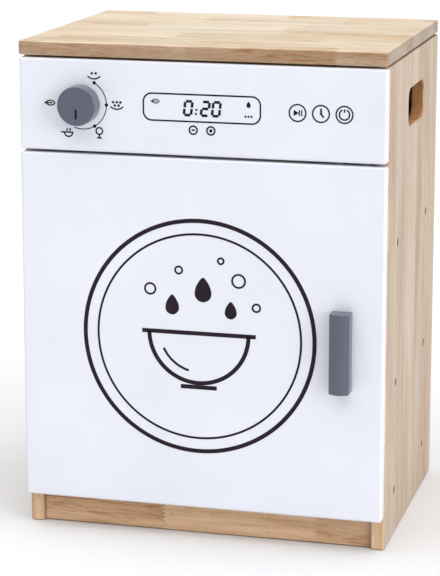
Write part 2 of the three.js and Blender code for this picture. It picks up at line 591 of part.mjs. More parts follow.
function pegRail(depth, pegs, pegHeight) {
  const half = WEB_INNER - FIT;
  const batten = box(-half, half, depth - PEG_RAIL_WIDTH / 2, depth + PEG_RAIL_WIDTH / 2,
    -RACK_DROP, -RACK_DROP + PEG_RAIL_HEIGHT);
  const pitch = 2 * (half - PEG_END_MARGIN) / (pegs - 1);
  const tip = PEG_RADIUS / 2;
  const uprights = Array.from({ length: pegs }, (unused, index) => turned([
    [0, 0], [PEG_RADIUS, 0], [PEG_RADIUS, PEG_RAIL_HEIGHT / 2 + pegHeight - tip],
    [PEG_RADIUS - tip, PEG_RAIL_HEIGHT / 2 + pegHeight], [0, PEG_RAIL_HEIGHT / 2 + pegHeight],
  ], PEG_SIDES).rotateX(Math.PI / 2)
    .translate(index * pitch - half + PEG_END_MARGIN, depth, -RACK_DROP + PEG_RAIL_HEIGHT / 2));
  return join(batten, uprights);
}

function addRack(name, row, pegs, pegHeight, pegShares) {
  const rack = new THREE.Group();
  rack.position.set(0, RACK_FRONT, row + RUNNER_HEIGHT / 2 + FIT);
  cabinet.add(rack);
  addPiece(rack, `${name}_left_rail`, sideRail(-1), beech);
  addPiece(rack, `${name}_right_rail`, sideRail(1), beech);
  addPiece(rack, `${name}_front_rail`, endRail(0, true), beech);
  addPiece(rack, `${name}_back_rail`, endRail(RACK_DEPTH - RACK_RAIL, false), beech);
  addPiece(rack, `${name}_base`, baseBoard(), plywood);
  pegShares.forEach((share, index) => addPiece(rack, `${name}_peg_rail_${index + 1}`,
    pegRail(share * RACK_DEPTH, pegs, pegHeight), beech));
}
addRack('lower_rack', LOWER_RUNNER_ROW, LOWER_PEGS, LOWER_PEG_HEIGHT, LOWER_PEG_RAIL_SHARES);
addRack('upper_rack', UPPER_RUNNER_ROW, UPPER_PEGS, UPPER_PEG_HEIGHT, UPPER_PEG_RAIL_SHARES);

export default toy;
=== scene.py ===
import math

import bmesh
import bpy
from mathutils import Matrix, Vector


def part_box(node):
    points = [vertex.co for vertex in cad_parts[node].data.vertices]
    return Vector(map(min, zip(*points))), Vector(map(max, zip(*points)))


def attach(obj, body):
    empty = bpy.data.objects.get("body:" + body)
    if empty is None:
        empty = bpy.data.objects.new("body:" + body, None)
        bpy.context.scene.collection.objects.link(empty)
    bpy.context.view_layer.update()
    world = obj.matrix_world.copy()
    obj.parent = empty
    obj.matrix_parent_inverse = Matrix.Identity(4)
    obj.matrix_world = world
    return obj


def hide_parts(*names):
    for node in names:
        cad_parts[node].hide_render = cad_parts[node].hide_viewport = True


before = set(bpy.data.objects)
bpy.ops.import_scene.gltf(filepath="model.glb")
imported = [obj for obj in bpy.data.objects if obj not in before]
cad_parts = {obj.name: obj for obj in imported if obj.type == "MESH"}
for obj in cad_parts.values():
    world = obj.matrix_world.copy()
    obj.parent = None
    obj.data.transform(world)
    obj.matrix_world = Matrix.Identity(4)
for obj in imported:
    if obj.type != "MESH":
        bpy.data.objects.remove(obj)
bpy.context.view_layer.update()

scene = bpy.context.scene

# Studio
# The camera stands to the right of the toy and above it, with a long lens, as in the photograph.
# The toy stands on a plain white floor under a broad soft light from above and a weaker one from the right.
CAMERA_PLACE = (0.612, -2.377, 0.828)
CAMERA_TURN = math.radians(14.8)
CAMERA_TILT = math.radians(11.51)
LENS = 139.6
LENS_SHIFT = -0.12
FLOOR_SIZE = 60
FLOOR_COLOUR = (0.73, 0.73, 0.735, 1)
FLOOR_ROUGHNESS = 0.9
SKY_COLOUR = (0.93, 0.95, 1.0, 1)
SKY_LEFT = 0.05                  # strength of the sky at the left and right, and of the backdrop
SKY_RIGHT = 0.45
BACKDROP = 0.95
LIGHTS = {                       # where each light comes from, its strength and its softness
    "overhead": ((-0.05, -0.12, 1.0), 3.55, math.radians(90)),
    "right_fill": ((0.85, -0.50, 0.25), 1.2, math.radians(30))}


class Shade:
    """A socket of a finish. Sums and products of sockets and numbers add their Math nodes."""

    def __init__(self, tree, socket=None):
        self.tree = tree
        self.socket = socket

    def node(self, kind, settings, sockets, output=0):
        """Adds a node with its settings and its sockets' values or links, and returns one of its outputs."""
        made = self.tree.nodes.new("ShaderNode" + kind)
        for name, setting in settings.items():
            setattr(made, name, setting)
        for name, value in sockets.items():
            if isinstance(value, Shade):
                self.tree.links.new(value.socket, made.inputs[name])
            else:
                made.inputs[name].default_value = value
        return Shade(self.tree, made.outputs[output])

    def maths(self, operation, first, second):
        return self.node("Math", {"operation": operation}, {0: first, 1: second})

    def __add__(self, other):
        return self.maths("ADD", self, other)

    __radd__ = __add__

    def __sub__(self, other):
        return self.maths("SUBTRACT", self, other)

    def __rsub__(self, other):
        return self.maths("SUBTRACT", other, self)

    def __mul__(self, other):
        return self.maths("MULTIPLY", self, other)

    __rmul__ = __mul__

    def __truediv__(self, other):
        return self.maths("DIVIDE", self, other)

    def __rtruediv__(self, other):
        return self.maths("DIVIDE", other, self)

    def __abs__(self):
        return self.maths("ABSOLUTE", self, 0)

    def floor(self):
        return self.maths("FLOOR", self, 0)

    def fold(self, width):
        """Runs up and down between 0 and the width, like folded paper."""
        return self.maths("PINGPONG", self, width)

    def step(self, low, high):
        """Rises smoothly from 0 at low to 1 at high."""
        sockets = {"Value": self, "From Min": low, "From Max": high}
        return self.node("MapRange", {"interpolation_type": "SMOOTHSTEP"}, sockets)

    def blend(self, low, high, **settings):
        """Goes from the colour low to the colour high as this goes from 0 to 1. A Mix node has the sockets of
        its factor and its colours at 0, 6 and 7, and that of the mixed colour at 2."""
        return self.node("Mix", {"data_type": "RGBA", **settings}, {0: self, 6: low, 7: high}, 2)

    def tint(self, colour, other):
        """Multiplies a colour by another as this goes from 0 to 1."""
        return self.blend(colour, other, blend_type="MULTIPLY")

    def point(self, x, y, z):
        """A place with these three coordinates."""
        return self.node("CombineXYZ", {}, {"X": x, "Y": y, "Z": z})

    def split(self):
        """The three coordinates of a place."""
        outputs = self.node("SeparateXYZ", {}, {"Vector": self}).socket.node.outputs
        return [Shade(self.tree, output) for output in outputs]

    def noise(self, scale, detail, roughness):
        """Soft noise between 0 and 1 at this place."""
        sockets = {"Vector": self, "Scale": scale, "Detail": detail, "Roughness": roughness}
        return self.node("TexNoise", {}, sockets)

    def random(self):
        """A number between 0 and 1 that is the same wherever this place is the same."""
        return self.node("TexWhiteNoise", {"noise_dimensions": "3D"}, {"Vector": self})

    def feed(self, shader, socket):
        self.tree.links.new(self.socket, shader.inputs[socket])

    def relief(self, shader, depth):
        """Fine relief of the given depth, from this height between 0 and 1."""
        self.node("Bump", {}, {"Height": self, "Distance": depth}).feed(shader, "Normal")


def new_finish(name, **constants):
    """A finish with its constant values set on the shader. Returns it, its shader and the place on it."""
    finish = bpy.data.materials.new(name)
    finish.use_nodes = True
    shader = finish.node_tree.nodes["Principled BSDF"]
    for socket, value in constants.items():
        shader.inputs[socket.replace("_", " ")].default_value = value
    return finish, shader, Shade(finish.node_tree).node("TexCoord", {}, {}, "Object")


def show(name, data):
    """Puts an object with the data in the scene."""
    made = bpy.data.objects.new(name, data)
    scene.collection.objects.link(made)
    return made


def show_shape(name, shape):
    """Puts an object with the shape's mesh in the scene."""
    mesh = bpy.data.meshes.new(name)
    shape.to_mesh(mesh)
    shape.free()
    return show(name, mesh)


scene.view_settings.view_transform = "Standard"
camera = show("camera", bpy.data.cameras.new("camera"))
camera.location = CAMERA_PLACE
camera.rotation_euler = (math.pi / 2 - CAMERA_TILT, 0, CAMERA_TURN)
camera.data.lens = LENS
camera.data.shift_y = LENS_SHIFT
scene.camera = camera

world = bpy.data.worlds.new("sky")
world.use_nodes = True
sky = world.node_tree.nodes["Background"]
sky.inputs["Color"].default_value = SKY_COLOUR
across_sky = Shade(world.node_tree).node("TexCoord", {}, {}, "Generated").split()[0]
lit = across_sky.step(-1, 1) * (SKY_RIGHT - SKY_LEFT) + SKY_LEFT
(lit + (BACKDROP - lit) * lit.node("LightPath", {}, {}, "Is Camera Ray")).feed(sky, "Strength")
scene.world = world

for name, (source, strength, softness) in LIGHTS.items():
    light = show(name, bpy.data.lights.new(name, "SUN"))
    light.data.energy = strength
    light.data.angle = softness
    light.rotation_euler = Vector(source).to_track_quat("Z", "Y").to_euler()

floor_shape = bmesh.new()
bmesh.ops.create_grid(floor_shape, x_segments=1, y_segments=1, size=FLOOR_SIZE / 2)
floor = show_shape("floor", floor_shape)
floor.data.materials.append(new_finish("floor", Base_Color=FLOOR_COLOUR, Roughness=FLOOR_ROUGHNESS)[0])

# Worktop
# One board of rubberwood, glued up from finger-jointed staves that run from side to side, sanded round at its
# edges and clear lacquered. It lies on the two sides.
EDGE_ROUND = 0.0022
EDGE_STEPS = 5
SHARP_ANGLE = math.radians(35)
WIDE_FACE_WEIGHT = 100           # keeps the wide faces evenly shaded beside their round edges
FINGER_LENGTH = 0.005
FINGER_PITCH = 0.0045
FINGER_START = 1.0
GLUE_LINE = 0.0004
ROW_SHIFT = 9                    # most that a row of staves starts further on, in staves
FIGURE_SHIFT = (7, 3, 5)         # and most that a stave's figure does, along and across it and through it
STREAKS = (5, 110, 4, 0.6)       # how close marks stand along the grain and across it, detail and roughness
FIBRES = (22, 900, 3, 0.6)
PORES = (110, 1300, 1, 0.4)
CLOUDS = (3, 14, 2, 0.5)
BRUSHING = (34, 420, 2, 0.5)
WOOD_RELIEF = 0.00012
STROKE_TINT = (0.80, 0.62, 0.47, 1)
WARM_TINT = (0.97, 0.87, 0.72, 1)
PLAIN_TINT = (1, 1, 1, 1)
BLACK = (0, 0, 0, 1)


def glued_wood(name, grain, across, stave, colours, seed, contrast, strokes=0.0, edge=PLAIN_TINT,
               end=PLAIN_TINT, start=0.0):
    """Lacquered wood of finger-jointed staves. Grain and across are the numbers of its axes, and a stave has
    a width and a length. Edge and end tint the faces that look across the grain and along it, and start is
    where along the grain its staves are counted from. On the worktop the edge tint is partly painted shade,
    and on the sides it is partly painted light."""
    finish, shader, place = new_finish(name, Coat_Weight=0.1, Coat_Roughness=0.3, Specular_IOR_Level=0.3)
    axes = place.split()
    facing = place.node("TexCoord", {}, {}, "Normal").split()
    through = axes[3 - grain - across]
    on_edge = abs(facing[across]).step(0.5, 0.9)
    on_end = abs(facing[grain]).step(0.5, 0.9)

    rows = axes[across] / stave[0] + seed
    row = rows.floor()
    row_shift = place.point(row, seed, 0.5).random() * ROW_SHIFT
    zigzag = (axes[across] + through + FINGER_START).fold(FINGER_PITCH / 2)
    fingers = zigzag * (2 * FINGER_LENGTH / FINGER_PITCH)
    staves = (axes[grain] + fingers - start) / stave[1] + row_shift
    number = staves.floor()
    tone = place.point(row, number, seed).random()
    blush = place.point(number, row, seed + 3).random()
    glue = abs(rows - row - 0.5).step(0.5 - GLUE_LINE / stave[0], 0.5)
    joint = abs(staves - number - 0.5).step(0.5 - GLUE_LINE / stave[1], 0.5)

    along = axes[grain] + blush * FIGURE_SHIFT[0]
    aside = axes[across] + tone * FIGURE_SHIFT[1]
    deep = through + blush * FIGURE_SHIFT[2]

    def marks(lengthwise, crosswise, detail, roughness):
        stretched = place.point(along * lengthwise, aside * crosswise, deep * crosswise)
        return stretched.noise(1.0, detail, roughness)

    streaks = marks(*STREAKS)
    fibres = marks(*FIBRES)
    pores = marks(*PORES).step(0.63, 0.7)
    clouds = marks(*CLOUDS)
    brushing = marks(*BRUSHING).step(0.5, 0.68)

    figure = (streaks - 0.5) * 1.5 + (clouds - 0.5) * 0.9 + (fibres - 0.5) * 0.5
    depth = figure + (tone - 0.5) * (contrast + on_edge * contrast * 0.3) + 0.4
    colour = depth.step(0, 1).blend(*colours)
    warmth = (blush - 0.5) * (contrast + on_edge * contrast) * 1.2 + (clouds - 0.5) * 1.6 + (streaks - 0.5)
    colour = (warmth + 0.4).step(0, 1).tint(colour, WARM_TINT)
    colour = (brushing * clouds.step(0.42, 0.62) * (tone + 0.35) * strokes).tint(colour, STROKE_TINT)
    # edge tint: on the worktop partly painted shade, on the sides partly painted light
    colour = on_edge.tint(colour, edge)
    colour = on_end.tint(colour, end)
    (pores * 0.3 + glue * 0.12 + joint * 0.12).tint(colour, BLACK).feed(shader, "Base Color")
    (0.42 + fibres * 0.16 + pores * 0.15).feed(shader, "Roughness")
    (fibres * 0.35 - pores * 0.5 - glue * 0.2 - joint * 0.2 + 0.6).relief(shader, WOOD_RELIEF)
    return finish


def piece(name, shape, finish, body, slot, *nodes):
    """Makes a piece of the toy from a bmesh. It rides on the body and replaces the nodes. The slot is not
    used.
    """
    made = show_shape(name, shape)
    made.data.shade_smooth()
    made.data.set_sharp_from_angle(angle=SHARP_ANGLE)
    made.data.materials.append(finish)
    even = made.modifiers.new("even shading", "WEIGHTED_NORMAL")
    even.keep_sharp = True
    even.weight = WIDE_FACE_WEIGHT
    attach(made, body)
    if nodes:
        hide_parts(*nodes)
    return made


def block(low, high):
    """A plain block between two corners."""
    shape = bmesh.new()
    low, high = Vector(low), Vector(high)
    size = Matrix.Diagonal((*(high - low), 1))
    bmesh.ops.create_cube(shape, size=1, matrix=Matrix.Translation((low + high) / 2) @ size)
    return shape


def soften(shape, edges, radius, steps):
    """Rounds the given edges."""
    bmesh.ops.bevel(shape, geom=edges, offset=radius, segments=steps, profile=0.5, affect="EDGES",
                    material=-1)
    return shape


def soft_block(low, high, radius, steps=EDGE_STEPS):
    """A block with all its edges rounded."""
    shape = block(low, high)
    return soften(shape, shape.edges[:], radius, steps)


def board(node, radius=EDGE_ROUND):
    """A board with rounded edges that fills the node's box."""
    return soft_block(*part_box(node), radius)


# The edge tint darkens the front and back edges against the top. This is partly the wood's own tone and
# partly painted shade, for the weaker light that falls on those edges.
worktop_wood_painted_shade = glued_wood(
    "worktop_wood_painted_shade", grain=0, across=1, stave=(0.042, 0.16), seed=42.9, contrast=0.32, strokes=0.9,
    colours=((0.76, 0.665, 0.535, 1), (0.55, 0.455, 0.335, 1)), edge=(0.66, 0.535, 0.465, 1),
    end=(0.58, 0.55, 0.55, 1), start=-0.0585)
piece("worktop_board", board("worktop"), worktop_wood_painted_shade, "cabinet", "rubberwood", "worktop")

# Sides
# Two upright boards of the same wood with the grain running up. Each has a rounded hand grip near the top,
# a groove for the back panel and six countersunk screw holes. The left one is let in for the hinges.
BOTH_SIDES = (("left", -1), ("right", 1))
SIDE_CORNER = 0.0025
EASE_STEPS = 4
SIDE_STAVE = (0.115, 1.3)
SIDE_SEED = 11.7
GRIP_LOW = (-0.0205, 0.443)      # depth and height of its corners
GRIP_HIGH = (0.0765, 0.484)
GRIP_CORNER = 0.013
GRIP_WALL = 0.8                  # a face inside the grip looks sideways by less than this
GROOVE_DEPTH = 0.005
SHADOW_DEPTH = 0.005             # the dark line cut under the worktop
SHADOW_HEIGHT = 0.0015
FIT = 0.0003                     # room around a piece that is let in
OVERRUN = 0.004                  # how far a cut runs on past a face
OUTLINE_STEPS = 8
TURNED_STEPS = 32
CORNER_ANGLE = 1.0
FLAT_ANGLE = 0.001
MERGE_DISTANCE = 0.00001
SHANK_SHARE = 0.56               # radius of a screw's shank against its head's
HEAD_SHARE = 0.76                # height of its head against the radius
SIDE_SCREW_ROOM = 0.0014
SIDE_SCREW_SUNK = 0.0014
SCREW_COLUMNS = ("front", "back")
SIDE_SCREWS = [f"{row}_{column}_screw" for row in ("floor", "lower", "upper") for column in SCREW_COLUMNS]
HINGE_ENDS = ("lower", "upper")


def rounded_face(shape, low, high, radius):
    """Adds an upright rounded rectangle across depth and height to the shape."""
    places = ((low[0], low[1]), (high[0], low[1]), (high[0], high[1]), (low[0], high[1]))
    corners = [shape.verts.new((0, depth, height)) for depth, height in places]
    shape.faces.new(corners)
    bmesh.ops.bevel(shape, geom=corners, offset=radius, segments=OUTLINE_STEPS, profile=0.5,
                    affect="VERTICES", material=-1)


def thicken(shape, along):
    """Pulls a flat shape out into a solid one."""
    grown = bmesh.ops.extrude_face_region(shape, geom=shape.faces[:])
    far = [part for part in grown["geom"] if isinstance(part, bmesh.types.BMVert)]
    bmesh.ops.translate(shape, vec=along, verts=far)
    bmesh.ops.recalc_face_normals(shape, faces=shape.faces)
    return shape


def ease(shape, radius, steps, angle=CORNER_ANGLE):
    """Rounds the edges at which the shape turns by more than the angle."""
    edges = [edge for edge in shape.edges if edge.calc_face_angle(0) > angle]
    return soften(shape, edges, radius, steps)


def turned(profile, steps, x=0, y=0):
    """A shape turned around an upright axis, from points of radius and height that start and end on it."""
    shape = bmesh.new()
    points = [shape.verts.new((radius, 0, height)) for radius, height in profile]
    lines = [shape.edges.new(pair) for pair in zip(points, points[1:])]
    bmesh.ops.spin(shape, geom=points + lines, cent=(0, 0, 0), axis=(0, 0, 1), angle=math.tau,
                   steps=steps, use_merge=True)
    bmesh.ops.remove_doubles(shape, verts=shape.verts, dist=MERGE_DISTANCE)
    bmesh.ops.recalc_face_normals(shape, faces=shape.faces)
    shape.transform(Matrix.Translation((x, y, 0)))
    return shape


def joined(shapes):
    """Lays several shapes into one."""
    together = bmesh.new()
    carrier = bpy.data.meshes.new("carrier")
    for shape in shapes:
        shape.to_mesh(carrier)
        together.from_mesh(carrier)
        shape.free()
    bpy.data.meshes.remove(carrier)
    return together


def carve(shape, tools, operation="DIFFERENCE"):
    """Cuts the tools out of the shape, or welds them to it."""
    blank = show_shape("blank", shape)
    cutter = show_shape("cutter", joined(tools))
    cut = blank.modifiers.new("cut", "BOOLEAN")
    cut.operation = operation
    cut.object = cutter
    cut.solver = "EXACT"
    cut.use_self = True
    result = bmesh.new()
    result.from_mesh(blank.evaluated_get(bpy.context.evaluated_depsgraph_get()).to_mesh())
    for used in (blank, cutter):
        mesh = used.data
        bpy.data.objects.remove(used)
        bpy.data.meshes.remove(mesh)
    bmesh.ops.dissolve_limit(result, angle_limit=FLAT_ANGLE, verts=result.verts, edges=result.edges)
    return result


def side_block(side, near, far, low, high):
    """A block at the left or right, from near to far off the middle, between corners of depth and height."""
    left, right = sorted((side * near, side * far))
    return block((left, *low), (right, *high))


def pocket(node, low_room, high_room):
    """A block that clears a node, with extra room beyond each of its corners."""
    low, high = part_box(node)
    return block(low - Vector(low_room), high + Vector(high_room))


def screw_seat(node, way):
    """Where the node's screw sits, with Z the way that its head looks, its head's radius and its length."""
    low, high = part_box(node)
    half = (high - low) / 2
    way = Vector(way)
    head_face = (low + high) / 2 + Vector([size * step for size, step in zip(half, way)])
    seat = Matrix.Translation(head_face) @ way.to_track_quat("Z", "Y").to_matrix().to_4x4()
    return seat, min(half), 2 * max(half)


def countersunk_hole(seat, shank, head, cone, length, over=OVERRUN, sunk=0.0, steps=TURNED_STEPS):
    """A hole for a countersunk screw, of these radii and heights. It runs on over its seat, and the cone can
    be sunk below it."""
    profile = [(0, -length), (shank, -length), (shank, -cone - sunk), (head, -sunk), (head, over), (0, over)]
    hole = turned(profile, steps)
    hole.transform(seat)
    return hole


def screw_hole(node, way, room=FIT, sunk=0.0):
    """A countersunk hole for the node's screw, with a little room around it and the cone sunk by so much."""
    seat, head, length = screw_seat(node, way)
    shank = head * SHANK_SHARE + FIT
    return countersunk_hole(seat, shank, head + room, head * HEAD_SHARE, length + FIT, sunk=sunk)


# Painted shade and light: the sides are the same rubberwood as the worktop but get darker colours, for the
# weaker light that falls on them. The edge tint makes their front and back edges lighter and warmer. This is
# partly the wood's own warmth and partly painted light, where the rounded edges catch the light.
side_wood_painted_light_and_shade = glued_wood(
    "side_wood_painted_light_and_shade", grain=2, across=1, stave=SIDE_STAVE, seed=SIDE_SEED, contrast=0.14, strokes=0.55,
    colours=((0.58, 0.475, 0.375, 1), (0.40, 0.31, 0.225, 1)), edge=(1.3, 1.15, 0.98, 1),
    end=(0.9, 0.78, 0.66, 1))
# Painted shade and light: the faces inside the grip get a darker, more orange copy of the side wood, for the
# shade and the warm bounced light inside the grip.
grip_wood_painted_shade_and_bounce = glued_wood(
    "grip_wood_painted_shade_and_bounce", grain=2, across=1, stave=SIDE_STAVE, seed=SIDE_SEED, contrast=0.3,
    colours=((0.62, 0.335, 0.17, 1), (0.37, 0.185, 0.085, 1)))
back_low, back_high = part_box("back_panel")
for name, side in BOTH_SIDES:
    node = f"{name}_side_panel"
    low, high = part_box(node)
    inner, outer = sorted((abs(low.x), abs(high.x)))
    panel = bmesh.new()
    rounded_face(panel, low.yz, high.yz, SIDE_CORNER)
    rounded_face(panel, GRIP_LOW, GRIP_HIGH, GRIP_CORNER)
    bmesh.ops.delete(panel, geom=panel.faces[:], context="FACES_ONLY")
    bmesh.ops.bridge_loops(panel, edges=panel.edges[:])
    thicken(panel, (high.x - low.x, 0, 0))
    bmesh.ops.translate(panel, vec=(low.x, 0, 0), verts=panel.verts)
    ease(panel, EDGE_ROUND, EASE_STEPS)
    above = high.z + OVERRUN
    tools = [side_block(side, inner - OVERRUN, inner + GROOVE_DEPTH, (back_low.y - FIT, -OVERRUN),
                        (back_high.y + FIT, above))]
    for screw in SIDE_SCREWS:
        tools.append(screw_hole(f"{name}_{screw}", (side, 0, 0), SIDE_SCREW_ROOM, SIDE_SCREW_SUNK))
    tools.append(side_block(side, outer - SHADOW_DEPTH, outer + OVERRUN,
                            (low.y - OVERRUN, high.z - SHADOW_HEIGHT), (high.y + OVERRUN, above)))
    if name == "left":
        for end in HINGE_ENDS:
            tools.append(pocket(f"{end}_hinge_carcass_leaf", (OVERRUN, OVERRUN, FIT), (FIT, FIT, FIT)))
    panel = carve(panel, tools)
    # faces inside the grip take the second finish, with its painted shade and bounced light
    for face in panel.faces:
        places = zip(GRIP_LOW, face.calc_center_median().yz, GRIP_HIGH)
        in_grip = all(start - FIT < place < stop + FIT for start, place, stop in places)
        face.material_index = int(in_grip and abs(face.normal.x) < GRIP_WALL)
    side_board = piece(f"{name}_side_board", panel, side_wood_painted_light_and_shade, "cabinet", "rubberwood", node)
    side_board.data.materials.append(grip_wood_painted_shade_and_bounce)

# Side screws
# Six dark brown steel screws with countersunk cross heads go through each side, two into the floor board and
# two into each runner. Their dark brown colour is painted shade, for the shade in their sunk holes.
HEAD_RIM = 0.0003                # height and width of the eased rim of a screw's head
HEAD_EASE = 0.0002
RECESS_SHARES = (1.3, 0.28, 0.4)         # length, width and depth of the cross against the head's radius
SMALL_STEPS = 24                 # of small turned shapes
SCREW_TURN = 0.7                 # each screw is turned on by so much against the last one
RUB_MARKS = (700.0, 4, 0.7)
RUB_RELIEF = 0.00003


def shaded(colour, share, lift=0.0):
    """A colour made darker or lighter."""
    return (*[min(1, part * share + lift) for part in colour[:3]], 1)


def metal(name, colour, roughness):
    """Plated steel with fine rubbing marks."""
    finish, shader, place = new_finish(name, Metallic=1.0)
    marks = place.noise(*RUB_MARKS)
    marks.step(0.3, 0.7).blend(colour, shaded(colour, 0.82)).feed(shader, "Base Color")
    (roughness + marks * 0.12).feed(shader, "Roughness")
    marks.relief(shader, RUB_RELIEF)
    return finish


def cross_screw(head, length, seat, turn):
    """A countersunk wood screw with a flat cross head, laid on its seat and turned in it."""
    shank = head * SHANK_SHARE
    shape = turned([(0, -length), (shank, shank * 2 - length), (shank, -head * HEAD_SHARE), (head, -HEAD_RIM),
                    (head - HEAD_EASE, 0), (0, 0)], SMALL_STEPS)
    arm, width, depth = [head * share for share in RECESS_SHARES]
    shape = carve(shape, [block((-x / 2, -y / 2, -depth), (x / 2, y / 2, OVERRUN))
                          for x, y in ((arm, width), (width, arm))])
    shape.transform(seat @ Matrix.Rotation(turn, 4, "Z"))
    return shape


def screw_piece(name, node, way, finish, body, turn):
    """A cross screw in the place of the node's."""
    seat, head, length = screw_seat(node, way)
    piece(name, cross_screw(head, length, seat, turn), finish, body, "steel", node)


# painted shade: dark brown steel for the shade in the sunk screw holes
dark_steel_painted_shade = metal("dark_steel_painted_shade", (0.16, 0.095, 0.055, 1), roughness=0.42)
for name, side in BOTH_SIDES:
    for count, screw in enumerate(SIDE_SCREWS):
        screw_piece(f"{name}_{screw.replace('_screw', '_cross_screw')}", f"{name}_{screw}", (side, 0, 0),
                    dark_steel_painted_shade, "cabinet", SCREW_TURN * count)

# Inside boards
# More rubberwood between the sides: the kick plate, set back under the door, the floor board that lies on it,
# and the lintel rail that the control panel is screwed to. A slim batten under the worktop closes the joint
# above the control panel from behind, so that no light shines through.
INNER_ROUND = 0.001
BATTEN = 0.012
BACKWARDS = (0, 1, 0)
PANEL_SCREWS = ("control_panel_screw_1", "control_panel_screw_2")

kick_wood = glued_wood(
    "kick_wood", grain=0, across=2, stave=(0.055, 0.17), seed=82.1, start=0.0179, contrast=0.26, strokes=1.25,
    colours=((0.78, 0.56, 0.375, 1), (0.50, 0.305, 0.18, 1)))
piece("kick_board", board("kick_plate", INNER_ROUND), kick_wood, "cabinet", "rubberwood", "kick_plate")

floor_holes = [screw_hole(f"{name}_floor_{column}_screw", (side, 0, 0))
               for name, side in BOTH_SIDES for column in SCREW_COLUMNS]
floor_shelf = carve(board("floor_board", INNER_ROUND), floor_holes)
piece("floor_shelf", floor_shelf, worktop_wood_painted_shade, "cabinet", "rubberwood", "floor_board")

lintel = carve(board("lintel_rail", INNER_ROUND), [screw_hole(node, BACKWARDS) for node in PANEL_SCREWS])
piece("lintel_board", lintel, worktop_wood_painted_shade, "cabinet", "rubberwood", "lintel_rail")
low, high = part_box("lintel_rail")
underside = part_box("worktop")[0].z
batten = soft_block((low.x, low.y, underside - BATTEN), (high.x, low.y + BATTEN, underside - FIT),
                    INNER_ROUND)
piece("worktop_batten", batten, worktop_wood_painted_shade, "cabinet", "rubberwood")
steel = metal("steel", (0.62, 0.61, 0.58, 1), roughness=0.3)
for count, node in enumerate(PANEL_SCREWS):
    screw_piece(f"panel_cross_screw_{count + 1}", node, BACKWARDS, steel, "cabinet", turn=0.5 + count)

# Fronts
# The control panel and the door are fibreboard under white lacquer, with well rounded edges. The door is let
# in for its hinges and the strike plate. The panel is rebated behind its upper edge for a clean dark joint.
FRONT_ROUND = 0.003
LIP_THICKNESS = 0.004            # the lip that the rebate leaves at the top of the control panel
LIP_HEIGHT = 0.004
BARREL_ROOM = 0.0019             # radii of the holes for the hinges' barrels and the dial's bolt
BOLT_ROOM = 0.0033
BORE_REACH = 0.1
HANDLE_SCREWS = ("handle_screw_1", "handle_screw_2")
PAINT_CLOUDS = (6.0, 3, 0.6)
ORANGE_PEEL = (900.0, 2, 0.5)
PEEL_RELIEF = 0.00004


def lacquer(name, colour, roughness, coat):
    """Sprayed paint: an even colour with faint clouds, and a very fine orange peel."""
    finish, shader, place = new_finish(name, Coat_Weight=coat, Coat_Roughness=0.14, IOR=1.5)
    clouds = place.noise(*PAINT_CLOUDS)
    clouds.step(0.3, 0.7).blend(shaded(colour, 0.975), shaded(colour, 1.02)).feed(shader, "Base Color")
    (roughness - 0.04 + clouds * 0.08).feed(shader, "Roughness")
    place.noise(*ORANGE_PEEL).relief(shader, PEEL_RELIEF)
    return finish


def rod(radius, low, high, x=0, y=0, steps=TURNED_STEPS):
    """An upright round rod."""
    return turned([(0, low), (radius, low), (radius, high), (0, high)], steps, x, y)


dial_low, dial_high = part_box("program_dial")
dial_middle = (dial_low + dial_high) / 2


def on_dial_axis(y):
    """A place on the dial's axis, with Z towards the front."""
    return Matrix.Translation((dial_middle.x, y, dial_middle.z)) @ Matrix.Rotation(math.pi / 2, 4, "X")


white_lacquer = lacquer("white_lacquer", (0.772, 0.787, 0.858, 1), roughness=0.38, coat=0.35)
low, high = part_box("control_panel")
dial_bore = rod(BOLT_ROOM, -BORE_REACH, BORE_REACH)
dial_bore.transform(on_dial_axis(low.y))
rebate = block((low.x + LIP_THICKNESS, low.y + LIP_THICKNESS, high.z - LIP_HEIGHT),
               (high.x - LIP_THICKNESS, high.y + OVERRUN, high.z + OVERRUN))
panel_tools = [dial_bore, *[screw_hole(node, BACKWARDS) for node in PANEL_SCREWS], rebate]
control_board = carve(board("control_panel", FRONT_ROUND), panel_tools)
piece("control_board", control_board, white_lacquer, "cabinet", "white_paint", "control_panel")

door_tools = [pocket("strike_plate", (FIT, FIT, FIT), (FIT, OVERRUN, FIT))]
door_tools += [screw_hole(node, BACKWARDS) for node in HANDLE_SCREWS]
for end in HINGE_ENDS:
    door_tools.append(pocket(f"{end}_hinge_door_leaf", (OVERRUN, FIT, FIT), (FIT, OVERRUN, FIT)))
    low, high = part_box(f"{end}_hinge_pin")
    door_tools.append(rod(BARREL_ROOM, low.z - FIT, high.z + FIT, *((low + high) / 2).xy))
door_board = carve(board("door_panel", FRONT_ROUND), door_tools)
piece("door_board", door_board, white_lacquer, "door", "white_paint", "door_panel")

# Prints
# Screen prints on the lacquer: the scale of the dial, the display and three round signs on the control panel,
# and a double ring with a bowl, drops and bubbles on the door. Each line is a film of ink.
INK_SUNK = 0.0001
INK_PROUD = 0.00015
INK_MIDDLE = (INK_SUNK - INK_PROUD) / 2
INK_COVER = (160.0, 3, 0.6)
CHORD_ERROR = 0.00002
FRONT_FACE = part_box("door_panel")[0].y
DOT_STEPS = 16
DROP_STEPS = 40
DROP_POINT = 1.9                 # height of a drop's point against its radius
DROP_TAPER = 0.45                # how much it narrows up to there


def on_front(x, height):
    return Vector((x, FRONT_FACE, height))


def shift(across, up):
    """A step on the front, to the right and up."""
    return Vector((across, 0, up))


def direction(angle):
    """A step of one metre on the front, at an angle that turns counterclockwise from the right."""
    return shift(math.cos(math.radians(angle)), math.sin(math.radians(angle)))


